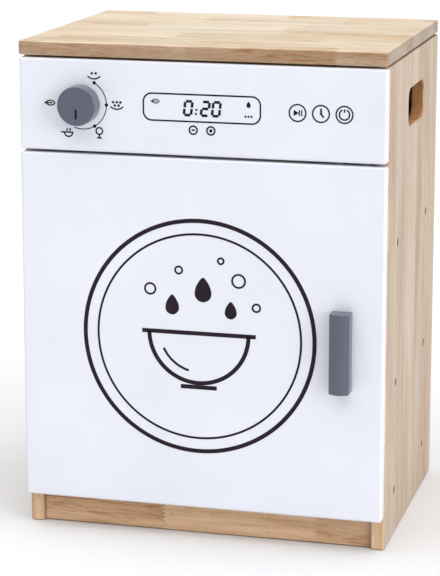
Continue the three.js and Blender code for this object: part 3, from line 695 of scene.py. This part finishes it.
def ring(ink, centre, radius, line, start=0, sweep=360):
    """A printed ring, or an arc of it, from a start angle."""
    out = direction(start)
    inside, outside = radius - line / 2, radius + line / 2
    section = [(inside, INK_SUNK), (outside, INK_SUNK), (outside, -INK_PROUD), (inside, -INK_PROUD)]
    corners = [ink.verts.new(centre + out * away + Vector((0, depth, 0))) for away, depth in section]
    sides = [ink.edges.new((corners[i - 1], corners[i])) for i in range(4)]
    whole = sweep == 360
    first = [] if whole else [ink.faces.new(corners)]
    steps = math.ceil(math.radians(sweep) / (2 * math.acos(1 - CHORD_ERROR / radius)))
    bmesh.ops.spin(ink, geom=corners + sides + first, cent=centre, axis=(0, -1, 0),
                   angle=math.radians(sweep), steps=steps, use_merge=whole)


def bar(ink, start, end, line):
    """A printed straight line with square ends."""
    way = end - start
    turn = Matrix.Rotation(-math.atan2(way.z, way.x), 4, "Y")
    size = Matrix.Diagonal((way.length, INK_SUNK + INK_PROUD, line, 1))
    middle = (start + end) / 2 + Vector((0, INK_MIDDLE, 0))
    bmesh.ops.create_cube(ink, size=1, matrix=Matrix.Translation(middle) @ turn @ size)


def dot(ink, centre, radius, corners=DOT_STEPS, turn=0.0):
    """A printed dot, or with few corners a filled triangle or square."""
    middle = Matrix.Translation(centre + Vector((0, INK_MIDDLE, 0)))
    upright = Matrix.Rotation(-turn, 4, "Y") @ Matrix.Rotation(math.pi / 2, 4, "X")
    return bmesh.ops.create_cone(ink, cap_ends=True, segments=corners, radius1=radius, radius2=radius,
                                 depth=INK_SUNK + INK_PROUD, matrix=middle @ upright)["verts"]


def drop(ink, centre, radius):
    """A printed water drop: a dot whose upper half is drawn up into a point."""
    for vert in dot(ink, centre, radius, DROP_STEPS):
        rise = min(1, (vert.co.z - centre.z) / radius)
        if rise > 0:
            vert.co.z = centre.z + radius * rise * DROP_POINT
            vert.co.x = centre.x + (vert.co.x - centre.x) * (1 - rise ** 2 * DROP_TAPER)


def ink_finish(name, colour):
    """Screen printing ink: nearly even and matt, a little thinner here and there."""
    finish, shader, place = new_finish(name, Specular_IOR_Level=0.15)
    cover = place.noise(*INK_COVER)
    cover.step(0.45, 0.8).blend(colour, shaded(colour, 1.4, 0.002)).feed(shader, "Base Color")
    (0.5 + cover * 0.2).feed(shader, "Roughness")
    return finish


def print_piece(name, ink, finish, body):
    """Makes a piece of all the lines of a print."""
    bmesh.ops.recalc_face_normals(ink, faces=ink.faces)
    piece(name, ink, finish, body, "white_paint")


def sign(ink, centre, line, arcs=(), strokes=(), dots=()):
    """A printed sign around a centre. An arc has a place, a radius, a start and a sweep, a stroke has the
    places of its two ends, and a dot has a place and a radius."""
    for across, up, radius, start, sweep in arcs:
        ring(ink, centre + shift(across, up), radius, line, start, sweep)
    for stroke in strokes:
        bar(ink, centre + shift(*stroke[:2]), centre + shift(*stroke[2:]), line)
    for across, up, radius in dots:
        dot(ink, centre + shift(across, up), radius)


RING_CENTRE = on_front(-0.0013, 0.2276)
RINGS = ((0.1268, 0.0046), (0.1122, 0.0024))         # radius and line
PICTURE_SCALE = 1.22
BOWL_CENTRE = RING_CENTRE + shift(0, 0.004)
BOWL_RADIUS = 0.045 * PICTURE_SCALE
BOWL_LINE = 0.0046
BOWL_RIM = BOWL_RADIUS + 0.008   # half the width of its rim and of its foot
BOWL_FOOT = 0.020
FOOT_HEIGHT = -BOWL_RADIUS - BOWL_LINE
GLINT = (0, 0, BOWL_RADIUS - 0.012, 205, 50)
GLINT_LINE = 0.0026
BUBBLE_LINE = 0.0021
DROPS = ((-0.024, 0.022, 0.0062), (0.004, 0.036, 0.0076), (0.029, 0.020, 0.0054))        # place and radius
BUBBLES = ((-0.044, 0.038, 0.0048), (-0.018, 0.056, 0.0032), (0.036, 0.049, 0.0058),
           (0.052, 0.026, 0.0034), (0.020, 0.066, 0.0026))

door_ink = bmesh.new()
for radius, line in RINGS:
    ring(door_ink, RING_CENTRE, radius, line)
sign(door_ink, BOWL_CENTRE, BOWL_LINE, [(0, 0, BOWL_RADIUS, 180, 180)],
     [(-BOWL_RIM, 0, BOWL_RIM, 0), (-BOWL_FOOT, FOOT_HEIGHT, BOWL_FOOT, FOOT_HEIGHT)])
sign(door_ink, BOWL_CENTRE, GLINT_LINE, [GLINT])
for across, up, radius in DROPS:
    drop(door_ink, BOWL_CENTRE + shift(across, up) * PICTURE_SCALE, radius * PICTURE_SCALE)
for across, up, radius in BUBBLES:
    ring(door_ink, BOWL_CENTRE + shift(across, up) * PICTURE_SCALE, radius * PICTURE_SCALE, BUBBLE_LINE)
print_piece("door_print", door_ink, ink_finish("aubergine_ink", (0.018, 0.010, 0.017, 1)), "door")

THIN_LINE = 0.0017
SIGN_LINE = 0.0016
SCALE_CENTRE = on_front(dial_middle.x + 0.0012, dial_middle.z)
SCALE_RADIUS = 0.0268
SCALE_LINE = 0.0010
SCALE_ARC = (-110, 170)          # where it starts and how far it sweeps
DOT_ANGLES = (-60, 0, 60)
SCALE_DOT = 0.0019
SCALE_LEAF = (0.0104, 0.0013)    # length and line
LEAF_BEND = 0.62                 # radius of its two arcs against its length
LEAF_STALK = 0.68                # and how far its rib reaches from the middle, left and right
LEAF_RIB = 0.2
DISH = {"line": 0.0015, "arcs": [(0, 0.0070, 0.0099, 225, 90)]}
CRUMB = 0.0014
TWO_CRUMBS = [(x, 0.0030, CRUMB) for x in (-0.0022, 0.0022)]
FIVE_CRUMBS = [*[(x, 0.0011, CRUMB) for x in (-0.0021, 0.0021)],
               *[(x, 0.0045, CRUMB) for x in (-0.0040, 0, 0.0040)]]
GOBLET = {"line": SIGN_LINE, "arcs": [(0, 0.0018, 0.0036, 0, 360)],
          "strokes": [(0, -0.0018, 0, -0.0056), (-0.0027, -0.0056, 0.0027, -0.0056)]}
PAN = {"line": SIGN_LINE, "arcs": [(0, 0, 0.0046, 180, 180)],
       "strokes": [(-0.0084, 0, 0.0054, 0), *[(x, 0.0014, x + 0.0012, 0.0042) for x in (-0.0022, 0.0012)]]}


def leaf_sign(ink, centre, length, line):
    """A printed leaf: two arcs that meet in points, with a rib."""
    radius = length * LEAF_BEND
    reach = math.degrees(math.asin(length / 2 / radius))
    sag = shift(0, math.sqrt(radius ** 2 - (length / 2) ** 2))
    ring(ink, centre - sag, radius, line, 90 - reach, 2 * reach)
    ring(ink, centre + sag, radius, line, 270 - reach, 2 * reach)
    bar(ink, centre - shift(length * LEAF_STALK, 0), centre + shift(length * LEAF_RIB, 0), line)


panel_ink = bmesh.new()
for angle in DOT_ANGLES:
    dot(panel_ink, SCALE_CENTRE + direction(angle) * SCALE_RADIUS, SCALE_DOT, SMALL_STEPS)
ring(panel_ink, SCALE_CENTRE, SCALE_RADIUS, SCALE_LINE, *SCALE_ARC)
leaf_sign(panel_ink, SCALE_CENTRE + shift(-0.0357, 0.0002), *SCALE_LEAF)
sign(panel_ink, SCALE_CENTRE + shift(0.0131, 0.0303), dots=TWO_CRUMBS, **DISH)
sign(panel_ink, SCALE_CENTRE + shift(0.0382, -0.0012), dots=FIVE_CRUMBS, **DISH)
sign(panel_ink, SCALE_CENTRE + shift(0.0186, -0.0300), **GOBLET)
sign(panel_ink, SCALE_CENTRE + shift(-0.0158, -0.0308), **PAN)

DISPLAY_LOW = on_front(-0.0612, 0.4604)
DISPLAY_HIGH = on_front(0.0657, 0.4890)
DISPLAY_CORNER = 0.009
left, right = DISPLAY_LOW.x + DISPLAY_CORNER, DISPLAY_HIGH.x - DISPLAY_CORNER
bottom, top = DISPLAY_LOW.z + DISPLAY_CORNER, DISPLAY_HIGH.z - DISPLAY_CORNER
for height in (DISPLAY_LOW.z, DISPLAY_HIGH.z):
    bar(panel_ink, on_front(left, height), on_front(right, height), THIN_LINE)
for x in (DISPLAY_LOW.x, DISPLAY_HIGH.x):
    bar(panel_ink, on_front(x, bottom), on_front(x, top), THIN_LINE)
for x, height, start in ((right, top, 0), (left, top, 90), (left, bottom, 180), (right, bottom, 270)):
    ring(panel_ink, on_front(x, height), DISPLAY_CORNER, THIN_LINE, start, 90)

DIGIT_WIDTH = 0.0078
DIGIT_HEIGHT = 0.0146
DIGIT_LINE = 0.0028
DIGIT_GAP = 0.26                 # how much each bar stops short at its corners, against its line
DIGIT_SLANT = 0.12
DIGIT_FOOT = 0.4672
DIGITS = (("0", -0.0170), ("2", 0.0016), ("0", 0.0135))          # each number and where it starts
COLON_PLACE = -0.0040
COLON_SHARES = (0.1, 0.4)        # heights of its dots against a digit's
DISPLAY_DOT = 0.0012
DIGIT_BARS = {                   # the ends of its bars, one after the other, in widths and heights of a digit
    "0": ((0, 0), (1, 0), (1, 0.5), (1, 1), (0, 1), (0, 0.5), (0, 0)),
    "2": ((0, 1), (1, 1), (1, 0.5), (0, 0.5), (0, 0), (1, 0))}


def on_display(x, share):
    """A place at a share of the digits' height, slanted as they are."""
    rise = share * DIGIT_HEIGHT
    return on_front(x + rise * DIGIT_SLANT, DIGIT_FOOT + rise)


def digit(ink, number, left):
    """A slanted number of bars, as on a clock."""
    places = [on_display(left + x * DIGIT_WIDTH, share) for x, share in DIGIT_BARS[number]]
    for start, end in zip(places, places[1:]):
        gap = (end - start).normalized() * DIGIT_LINE * DIGIT_GAP
        bar(ink, start + gap, end - gap, DIGIT_LINE)


for number, start in DIGITS:
    digit(panel_ink, number, start)
for share in COLON_SHARES:
    dot(panel_ink, on_display(COLON_PLACE, share), DISPLAY_DOT)

DISPLAY_LEAF = (0.0082, 0.0010)
DISPLAY_DROP = 0.0022
THREE_DOTS = [(x, 0, DISPLAY_DOT) for x in (-0.0033, 0, 0.0033)]
KEY = {"line": THIN_LINE, "arcs": [(0, 0, 0.0043, 0, 360)]}      # under the display, for minus and plus
LEVEL = (-0.0019, 0, 0.0019, 0)
UPRIGHT = (0, -0.0019, 0, 0.0019)
SIGN_RADIUS = 0.0088
PLAY_CORNER = 0.0038
PLAY_SHIFT = shift(-0.0022, 0)
PAUSE = {"line": 0.0013, "strokes": [(x, -0.0032, x, 0.0032) for x in (0.0019, 0.0044)]}
HANDS = {"line": SIGN_LINE * 1.2, "strokes": [(0, 0, 0, 0.0056), (0, 0, 0.0030, -0.0038)]}
POWER = {"line": SIGN_LINE, "arcs": [(0, 0, 0.0054, 115, 310)], "strokes": [(0, 0.0022, 0, 0.0058)]}

leaf_sign(panel_ink, on_front(-0.0478, 0.4806), *DISPLAY_LEAF)
drop(panel_ink, on_front(0.0530, 0.4795), DISPLAY_DROP)
sign(panel_ink, on_front(0.0530, 0.4680), THIN_LINE, dots=THREE_DOTS)
sign(panel_ink, on_front(-0.0068, 0.4514), strokes=[LEVEL], **KEY)
sign(panel_ink, on_front(0.0124, 0.4514), strokes=[LEVEL, UPRIGHT], **KEY)
play, clock, power = [on_front(x, 0.4740) for x in (0.1053, 0.1301, 0.1549)]
for centre in (play, clock, power):
    ring(panel_ink, centre, SIGN_RADIUS, SIGN_LINE)
dot(panel_ink, play + PLAY_SHIFT, PLAY_CORNER, 3, -math.pi / 2)
sign(panel_ink, play, **PAUSE)
sign(panel_ink, clock, dots=[(0, 0, DISPLAY_DOT)], **HANDS)
sign(panel_ink, power, **POWER)
print_piece("panel_print", panel_ink, ink_finish("black_ink", (0.008, 0.008, 0.009, 1)), "cabinet")

# Dial
# A turned knob under slate lacquer, with a groove in its face that is painted dark and points to the scale. A
# bolt with a washer behind the panel holds it.
DIAL_ROUND = 0.0016
DIAL_ROUND_STEPS = 6
DIAL_FOOT_EASE = 0.0008
DIAL_STEPS = 96
POINTER_WIDTH = 0.0025
POINTER_LENGTH = 0.011
POINTER_DEPTH = 0.0014
POINTER_START = 0.003            # from the dial's rim
PAINT_WIDTH = 0.0021
PAINT_THICKNESS = 0.0002
BOLT_REACH = 0.012

slate_lacquer = lacquer("slate_lacquer", (0.070, 0.082, 0.124, 1), roughness=0.36, coat=0.6)
knob_radius = (dial_high.x - dial_low.x) / 2
knob_length = dial_high.y - dial_low.y
rim = []
for step in range(DIAL_ROUND_STEPS + 1):
    turn = step * math.pi / 2 / DIAL_ROUND_STEPS
    drawn_in, drawn_back = DIAL_ROUND * (1 - math.sin(turn)), DIAL_ROUND * (1 - math.cos(turn))
    rim.append((knob_radius - drawn_in, knob_length - drawn_back))
foot = [(knob_radius, DIAL_FOOT_EASE), (knob_radius - DIAL_FOOT_EASE, 0), (0, 0)]
knob = turned([(0, knob_length), *rim, *foot], DIAL_STEPS)
groove = rod(POINTER_WIDTH / 2, -POINTER_DEPTH, POINTER_DEPTH, steps=SMALL_STEPS)
far_half = [vert for vert in groove.verts if vert.co.y < 0]
bmesh.ops.translate(groove, vec=(0, POINTER_WIDTH - POINTER_LENGTH, 0), verts=far_half)
groove.transform(Matrix.Translation((0, -POINTER_START - POINTER_WIDTH / 2, knob_length)))
knob = carve(knob, [groove, rod(BOLT_ROOM, -OVERRUN, BOLT_REACH)])
groove_floor = knob_length - POINTER_DEPTH
pointer = block((-PAINT_WIDTH / 2, -POINTER_START - POINTER_LENGTH + PAINT_WIDTH / 4, groove_floor),
                (PAINT_WIDTH / 2, -POINTER_START - PAINT_WIDTH / 4, groove_floor + PAINT_THICKNESS))
for shape in (knob, pointer):
    shape.transform(on_dial_axis(dial_high.y))
piece("dial_knob", knob, slate_lacquer, "dial", "slate_paint", "program_dial")
piece("pointer_paint", pointer, ink_finish("navy_ink", (0.012, 0.016, 0.030, 1)), "dial", "slate_paint")
for node in ("dial_bolt", "dial_washer"):
    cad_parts[node].material_slots[0].material = steel

# Handle
# An upright bar under the same slate lacquer. Its front swells and its ends are eased. Two screws from the
# back of the door hold it.
HANDLE_SWELL = 0.0045
HANDLE_EASE = 0.0012
HANDLE_ANGLE = 0.6               # edges that are sharper than this are eased
HANDLE_STEPS = 14


def sawn(outline, along):
    """A shape sawn to a flat outline, as thick as the step along."""
    shape = bmesh.new()
    shape.faces.new([shape.verts.new(point) for point in outline])
    return thicken(shape, along)


low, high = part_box("door_handle")
shares = [step / HANDLE_STEPS for step in range(HANDLE_STEPS + 1)]
width = high.x - low.x
outline = [(low.x + width * share, low.y + HANDLE_SWELL * (2 * share - 1) ** 2) for share in shares]
outline += [(high.x, high.y), (low.x, high.y)]
handle = sawn([(x, y, low.z) for x, y in outline], (0, 0, high.z - low.z))
ease(handle, HANDLE_EASE, EASE_STEPS, HANDLE_ANGLE)
handle = carve(handle, [screw_hole(node, BACKWARDS) for node in HANDLE_SCREWS])
piece("handle_bar", handle, slate_lacquer, "door", "slate_paint", "door_handle")
for count, node in enumerate(HANDLE_SCREWS):
    screw_piece(f"handle_cross_screw_{count + 1}", node, BACKWARDS, steel, "door", turn=0.9 + count)

# Runners
# Four planed beech battens with eased edges, on which the racks slide. The screws that go through the sides
# from outside hold them, two each.
PLANED_ROUND = 0.0012
ROWS = ("lower", "upper")


def beech(name, grain, across, seed, strokes=0.4):
    """Beech that isn't glued up: its stave is larger than any batten."""
    return glued_wood(name, grain, across, stave=(0.4, 2.0), seed=seed, contrast=0.15, strokes=strokes,
                      colours=((0.76, 0.55, 0.36, 1), (0.60, 0.40, 0.23, 1)))


beech_along = beech("beech_along", grain=1, across=2, seed=2.2)
for name, side in BOTH_SIDES:
    for row in ROWS:
        node = f"{name}_{row}_runner"
        holes = [screw_hole(f"{name}_{row}_{column}_screw", (side, 0, 0)) for column in SCREW_COLUMNS]
        runner = carve(board(node, PLANED_ROUND), holes)
        piece(f"{name}_{row}_batten", runner, beech_along, "cabinet", "beech", node)

# Racks
# Each rack is a frame of beech rails that hangs on the runners by its flanges, with a scooped front rail, a
# plywood base with drain slots and two battens of turned pegs that hold the dishes.
RAIL_WIDTH = 0.012
RAIL_STEPS = 3
FLANGE_HEIGHT = 0.008
FLANGE_SETBACK = 0.030
SCOOP_WIDTH = 0.110
SCOOP_DEPTH = 0.014
SCOOP_STEPS = 28
BASE_ROUND = 0.0006
BASE_STEPS = 2
SLOT_COUNT = 7
SLOT_PITCH = 0.0402
SLOT_WIDTH = 0.012
SLOT_MARGIN = 0.034
SLOT_END = 0.48                  # radius of a slot's ends against its width
SLOT_STEPS = 6
PEG_COUNTS = {"lower": 8, "upper": 7}
PEG_MARGIN = 0.026
PEG_RADIUS = 0.0039
PEG_STEPS = 20
PEG_SUNK = 0.008                 # how deep a peg stands in its batten
PEG_BATTEN_HEIGHT = 0.012
TIP_STEPS = 4
TIP_SHARE = 0.7                  # height of a peg's round tip against its radius


def birch_plywood(name, grain, across, seed):
    """A sheet of birch plywood, a little darker at its edges."""
    return glued_wood(name, grain, across, stave=(0.9, 3.0), seed=seed, contrast=0.1, strokes=0.6,
                      colours=((0.78, 0.61, 0.42, 1), (0.64, 0.46, 0.29, 1)), edge=(0.8, 0.7, 0.6, 1),
                      end=(0.8, 0.7, 0.6, 1))


def hanging_rail(low, high, side):
    """A side rail of a rack, cut away outside so that a flange is left at its top."""
    inner, outer = sorted((abs(low.x), abs(high.x)))
    below = (high.y + OVERRUN, high.z - FLANGE_HEIGHT)
    before = (low.y + FLANGE_SETBACK, high.z + OVERRUN)
    rail = carve(block(low, high), [
        side_block(side, inner + RAIL_WIDTH, outer + OVERRUN, (low.y - OVERRUN, low.z - OVERRUN), corner)
        for corner in (below, before)])
    return ease(rail, PLANED_ROUND, RAIL_STEPS)


def scooped_rail(low, high):
    """The front rail of a rack, with a wide scoop in its upper edge for the hand."""
    across = [SCOOP_WIDTH * (step / SCOOP_STEPS - 0.5) for step in range(SCOOP_STEPS + 1)]
    scoop = [(x, high.z - SCOOP_DEPTH * math.cos(math.pi * x / SCOOP_WIDTH) ** 2) for x in across]
    outline = [(low.x, low.z), (low.x, high.z), *scoop, (high.x, high.z), (high.x, low.z)]
    rail = sawn([(x, low.y, height) for x, height in outline], (0, high.y - low.y, 0))
    return ease(rail, PLANED_ROUND, RAIL_STEPS)


def edges_along(shape, axis):
    """The edges that run along an axis, by its number."""
    others = [other for other in range(3) if other != axis]
    ends = [[vert.co for vert in edge.verts] for edge in shape.edges]
    return [edge for edge, (start, end) in zip(shape.edges, ends)
            if all(abs(start[other] - end[other]) < MERGE_DISTANCE for other in others)]


def slotted_base(low, high):
    """The base of a rack, with a row of drain slots that have round ends."""
    slots = []
    for count in range(SLOT_COUNT):
        x = (count - (SLOT_COUNT - 1) / 2) * SLOT_PITCH
        slot = block((x - SLOT_WIDTH / 2, low.y + SLOT_MARGIN, low.z - OVERRUN),
                     (x + SLOT_WIDTH / 2, high.y - SLOT_MARGIN, high.z + OVERRUN))
        slots.append(soften(slot, edges_along(slot, 2), SLOT_WIDTH * SLOT_END, SLOT_STEPS))
    base = carve(block(low, high), slots)
    return ease(base, BASE_ROUND, BASE_STEPS)


def peg_rail(low, high, count):
    """A batten with a row of pegs that have round tips."""
    shapes = [soft_block(low, (high.x, high.y, low.z + PEG_BATTEN_HEIGHT), PLANED_ROUND, RAIL_STEPS)]
    foot = low.z + PEG_BATTEN_HEIGHT - PEG_SUNK
    turns = [step * math.pi / 2 / TIP_STEPS for step in range(TIP_STEPS)]
    tip_height = PEG_RADIUS * TIP_SHARE
    tip = [(PEG_RADIUS * math.cos(turn), high.z - tip_height * (1 - math.sin(turn))) for turn in turns]
    profile = [(0, foot), (PEG_RADIUS, foot), *tip, (0, high.z)]
    for number in range(count):
        x = low.x + PEG_MARGIN + number * (high.x - low.x - 2 * PEG_MARGIN) / (count - 1)
        shapes.append(turned(profile, PEG_STEPS, x, (low.y + high.y) / 2))
    return joined(shapes)


beech_across = beech("beech_across", grain=0, across=2, seed=5.2)
beech_upright = beech("beech_upright", grain=2, across=0, seed=3.7, strokes=0.2)
base_plywood = birch_plywood("base_plywood", grain=0, across=1, seed=8.4)
for row in ROWS:
    rack = f"{row}_rack"
    for name, side in BOTH_SIDES:
        node = f"{rack}_{name}_rail"
        rail = hanging_rail(*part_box(node), side)
        piece(f"{rack}_{name}_hanging_rail", rail, beech_along, rack, "beech", node)
    node = f"{rack}_front_rail"
    piece(f"{rack}_scooped_rail", scooped_rail(*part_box(node)), beech_across, rack, "beech", node)
    node = f"{rack}_back_rail"
    piece(f"{rack}_rear_rail", board(node, PLANED_ROUND), beech_across, rack, "beech", node)
    node = f"{rack}_base"
    piece(f"{rack}_slotted_base", slotted_base(*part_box(node)), base_plywood, rack, "plywood", node)
    for count in (1, 2):
        node = f"{rack}_peg_rail_{count}"
        pegs = peg_rail(*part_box(node), PEG_COUNTS[row])
        piece(f"{rack}_pegs_{count}", pegs, beech_upright, rack, "beech", node)

# Back panel
# A thin sheet of birch plywood with its grain running up. It slides into the grooves of the sides from below
# and keeps them square.
SHEET_ROUND = 0.0004
plywood = birch_plywood("plywood", grain=2, across=0, seed=1.4)
piece("back_sheet", board("back_panel", SHEET_ROUND), plywood, "cabinet", "plywood", "back_panel")

# Hinges
# Two plated butt hinges at the left, each with three knuckles on a pin. The outer knuckles belong to the leaf
# on the side and the middle one to the leaf on the door. Two small screws hold each leaf.
LEAF_THICKNESS = 0.0008
LEAF_CORNER = 0.0015
CARCASS_LEAF_INSET = 0.0011      # from the pin to the front of each leaf
DOOR_LEAF_INSET = -0.0004
KNUCKLE_GAP = 0.0004
KNUCKLE_ARM = 0.004              # how far a knuckle's own strip reaches into the leaf
BARREL_RADIUS = 0.0015
BORE_RADIUS = 0.001
FLAP_START = 0.0019              # from the pin
PIN_EASE = 0.0003
PIN_END = 0.7                    # radius of the pin's ends against its own
SMALL_SHANK = 0.0013
SMALL_HEAD = 0.0019
SMALL_HEAD_ROOM = 0.0001
LEAF_SCREW_LENGTH = 0.010
LEAF_SCREW_SPREAD = 0.0115
LEAF_SCREW_PLACE = 0.0072        # from the pin
LEAF_HOLE = (0.0007, OVERRUN, 0.001)     # height of its cone, its length, and how far it runs on


def small_hole(seat, cone, length, over):
    """A countersunk hole for one of the smallest screws."""
    head = SMALL_HEAD + SMALL_HEAD_ROOM
    return countersunk_hole(seat, SMALL_SHANK, head, cone, length, over, steps=SMALL_STEPS)


def hinge_leaf(low, high, pin, front, starts, knuckle):
    """A leaf with rounded outer corners, welded to the knuckles that start at these heights."""
    back = front + LEAF_THICKNESS
    flap = block((pin.x + FLAP_START, front, low.z), (high.x, back, high.z))
    outer_corners = [edge for edge in edges_along(flap, 1) if edge.verts[0].co.x > pin.x + LEAF_SCREW_PLACE]
    soften(flap, outer_corners, LEAF_CORNER, EASE_STEPS)
    knuckles = []
    for start in starts:
        knuckles.append(block((pin.x, front, start), (pin.x + KNUCKLE_ARM, back, start + knuckle)))
        knuckles.append(rod(BARREL_RADIUS, start, start + knuckle, pin.x, pin.y, SMALL_STEPS))
    return carve(flap, knuckles, "UNION")


for end in HINGE_ENDS:
    pin_low, pin_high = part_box(f"{end}_hinge_pin")
    pin = (pin_low + pin_high) / 2
    knuckle = (pin_high.z - pin_low.z - 2 * KNUCKLE_GAP) / 3
    first, second, third = [pin_low.z + count * (knuckle + KNUCKLE_GAP) for count in range(3)]
    for part, body, inset, way, starts in (
            ("carcass_leaf", "cabinet", CARCASS_LEAF_INSET, -1, (first, third)),
            ("door_leaf", "door", DOOR_LEAF_INSET, 1, (second,))):
        node = f"{end}_hinge_{part}"
        front = pin.y + inset
        leaf = hinge_leaf(*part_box(node), pin, front, starts, knuckle)
        face = front if way < 0 else front + LEAF_THICKNESS
        head_up = Matrix.Rotation(-way * math.pi / 2, 4, "X")
        seats = [Matrix.Translation((pin.x + LEAF_SCREW_PLACE, face, pin.z + spread)) @ head_up
                 for spread in (-LEAF_SCREW_SPREAD, LEAF_SCREW_SPREAD)]
        holes = [rod(BORE_RADIUS, pin_low.z - OVERRUN, pin_high.z + OVERRUN, pin.x, pin.y, SMALL_STEPS)]
        holes += [small_hole(seat, *LEAF_HOLE) for seat in seats]
        piece(f"{node}_plate", carve(leaf, holes), steel, body, "steel", node)
        screws = [cross_screw(SMALL_HEAD, LEAF_SCREW_LENGTH, seat, turn=0.4 + count)
                  for count, seat in enumerate(seats)]
        piece(f"{node}_screws", joined(screws), steel, body, "steel")
    pin_radius = (pin_high.x - pin_low.x) / 2
    profile = [(0, pin_low.z), (pin_radius * PIN_END, pin_low.z), (pin_radius, pin_low.z + PIN_EASE),
               (pin_radius, pin_high.z - PIN_EASE), (pin_radius * PIN_END, pin_high.z), (0, pin_high.z)]
    turned_pin = turned(profile, SMALL_STEPS, pin.x, pin.y)
    piece(f"{end}_hinge_turned_pin", turned_pin, steel, "cabinet", "steel", f"{end}_hinge_pin")

# Catch
# A magnet catch of cream plastic under the lintel, with two steel poles and two screws from below. It holds a
# small steel strike plate in the back of the door.
CATCH_ROUND = 0.0012
MOUTH = (0.0105, 0.0034, -OVERRUN, 0.006)        # half its width and height, and its ends behind the front
POLE = (0.010, 0.0007, 0.0003, 0.0055)
MAGNET = (0.0098, 0.0015, 0.0008, 0.0055)
POLE_HEIGHTS = (-0.0024, 0.0024)
POLE_ROUND = 0.0002
POLE_STEPS = 2
CATCH_SCREW_PLACES = (-0.0135, 0.0135)
CATCH_SCREW_LENGTH = 0.018
CATCH_SCREW_SUNK = 0.0004
CATCH_HOLE = (0.0015, 0.02, 0.003)
STRIKE_CORNER = 0.0015
STRIKE_SCREW_LENGTH = 0.009
STRIKE_HOLE = (0.001, OVERRUN, 0.001)


def catch_block(centre, half_width, half_height, near, far):
    """A block that lies behind a place on the catch's front."""
    return block(centre + Vector((-half_width, near, -half_height)),
                 centre + Vector((half_width, far, half_height)))


catch_plastic = lacquer("catch_plastic", (0.72, 0.70, 0.65, 1), roughness=0.45, coat=0.0)
low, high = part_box("magnet_catch")
middle = (low + high) / 2
catch_front = Vector((middle.x, low.y, middle.z))
head_down = Matrix.Rotation(math.pi, 4, "X")
seats = [Matrix.Translation((middle.x + x, middle.y, low.z + CATCH_SCREW_SUNK)) @ head_down
         for x in CATCH_SCREW_PLACES]
catch_tools = [catch_block(catch_front, *MOUTH), *[small_hole(seat, *CATCH_HOLE) for seat in seats]]
catch_body = carve(board("magnet_catch", CATCH_ROUND), catch_tools)
piece("catch_body", catch_body, catch_plastic, "cabinet", "catch_plastic", "magnet_catch")
poles = [catch_block(catch_front + shift(0, height), *POLE) for height in POLE_HEIGHTS]
for pole in poles:
    soften(pole, pole.edges[:], POLE_ROUND, POLE_STEPS)
piece("catch_poles", joined(poles), steel, "cabinet", "steel")
magnet_grey = metal("magnet_grey", (0.10, 0.10, 0.11, 1), roughness=0.6)
piece("catch_magnet", catch_block(catch_front, *MAGNET), magnet_grey, "cabinet", "steel")
catch_screws = joined([cross_screw(SMALL_HEAD, CATCH_SCREW_LENGTH, seat, turn=0.6) for seat in seats])
piece("catch_screws", catch_screws, steel, "cabinet", "steel")

low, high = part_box("strike_plate")
middle = (low + high) / 2
strike = block(low, high)
soften(strike, edges_along(strike, 1), STRIKE_CORNER, EASE_STEPS)
strike_seat = Matrix.Translation((middle.x, high.y, middle.z)) @ Matrix.Rotation(-math.pi / 2, 4, "X")
strike_sheet = carve(strike, [small_hole(strike_seat, *STRIKE_HOLE)])
piece("strike_sheet", strike_sheet, steel, "door", "steel", "strike_plate")
strike_screw = cross_screw(SMALL_HEAD, STRIKE_SCREW_LENGTH, strike_seat, turn=0.3)
piece("strike_screw", strike_screw, steel, "door", "steel")
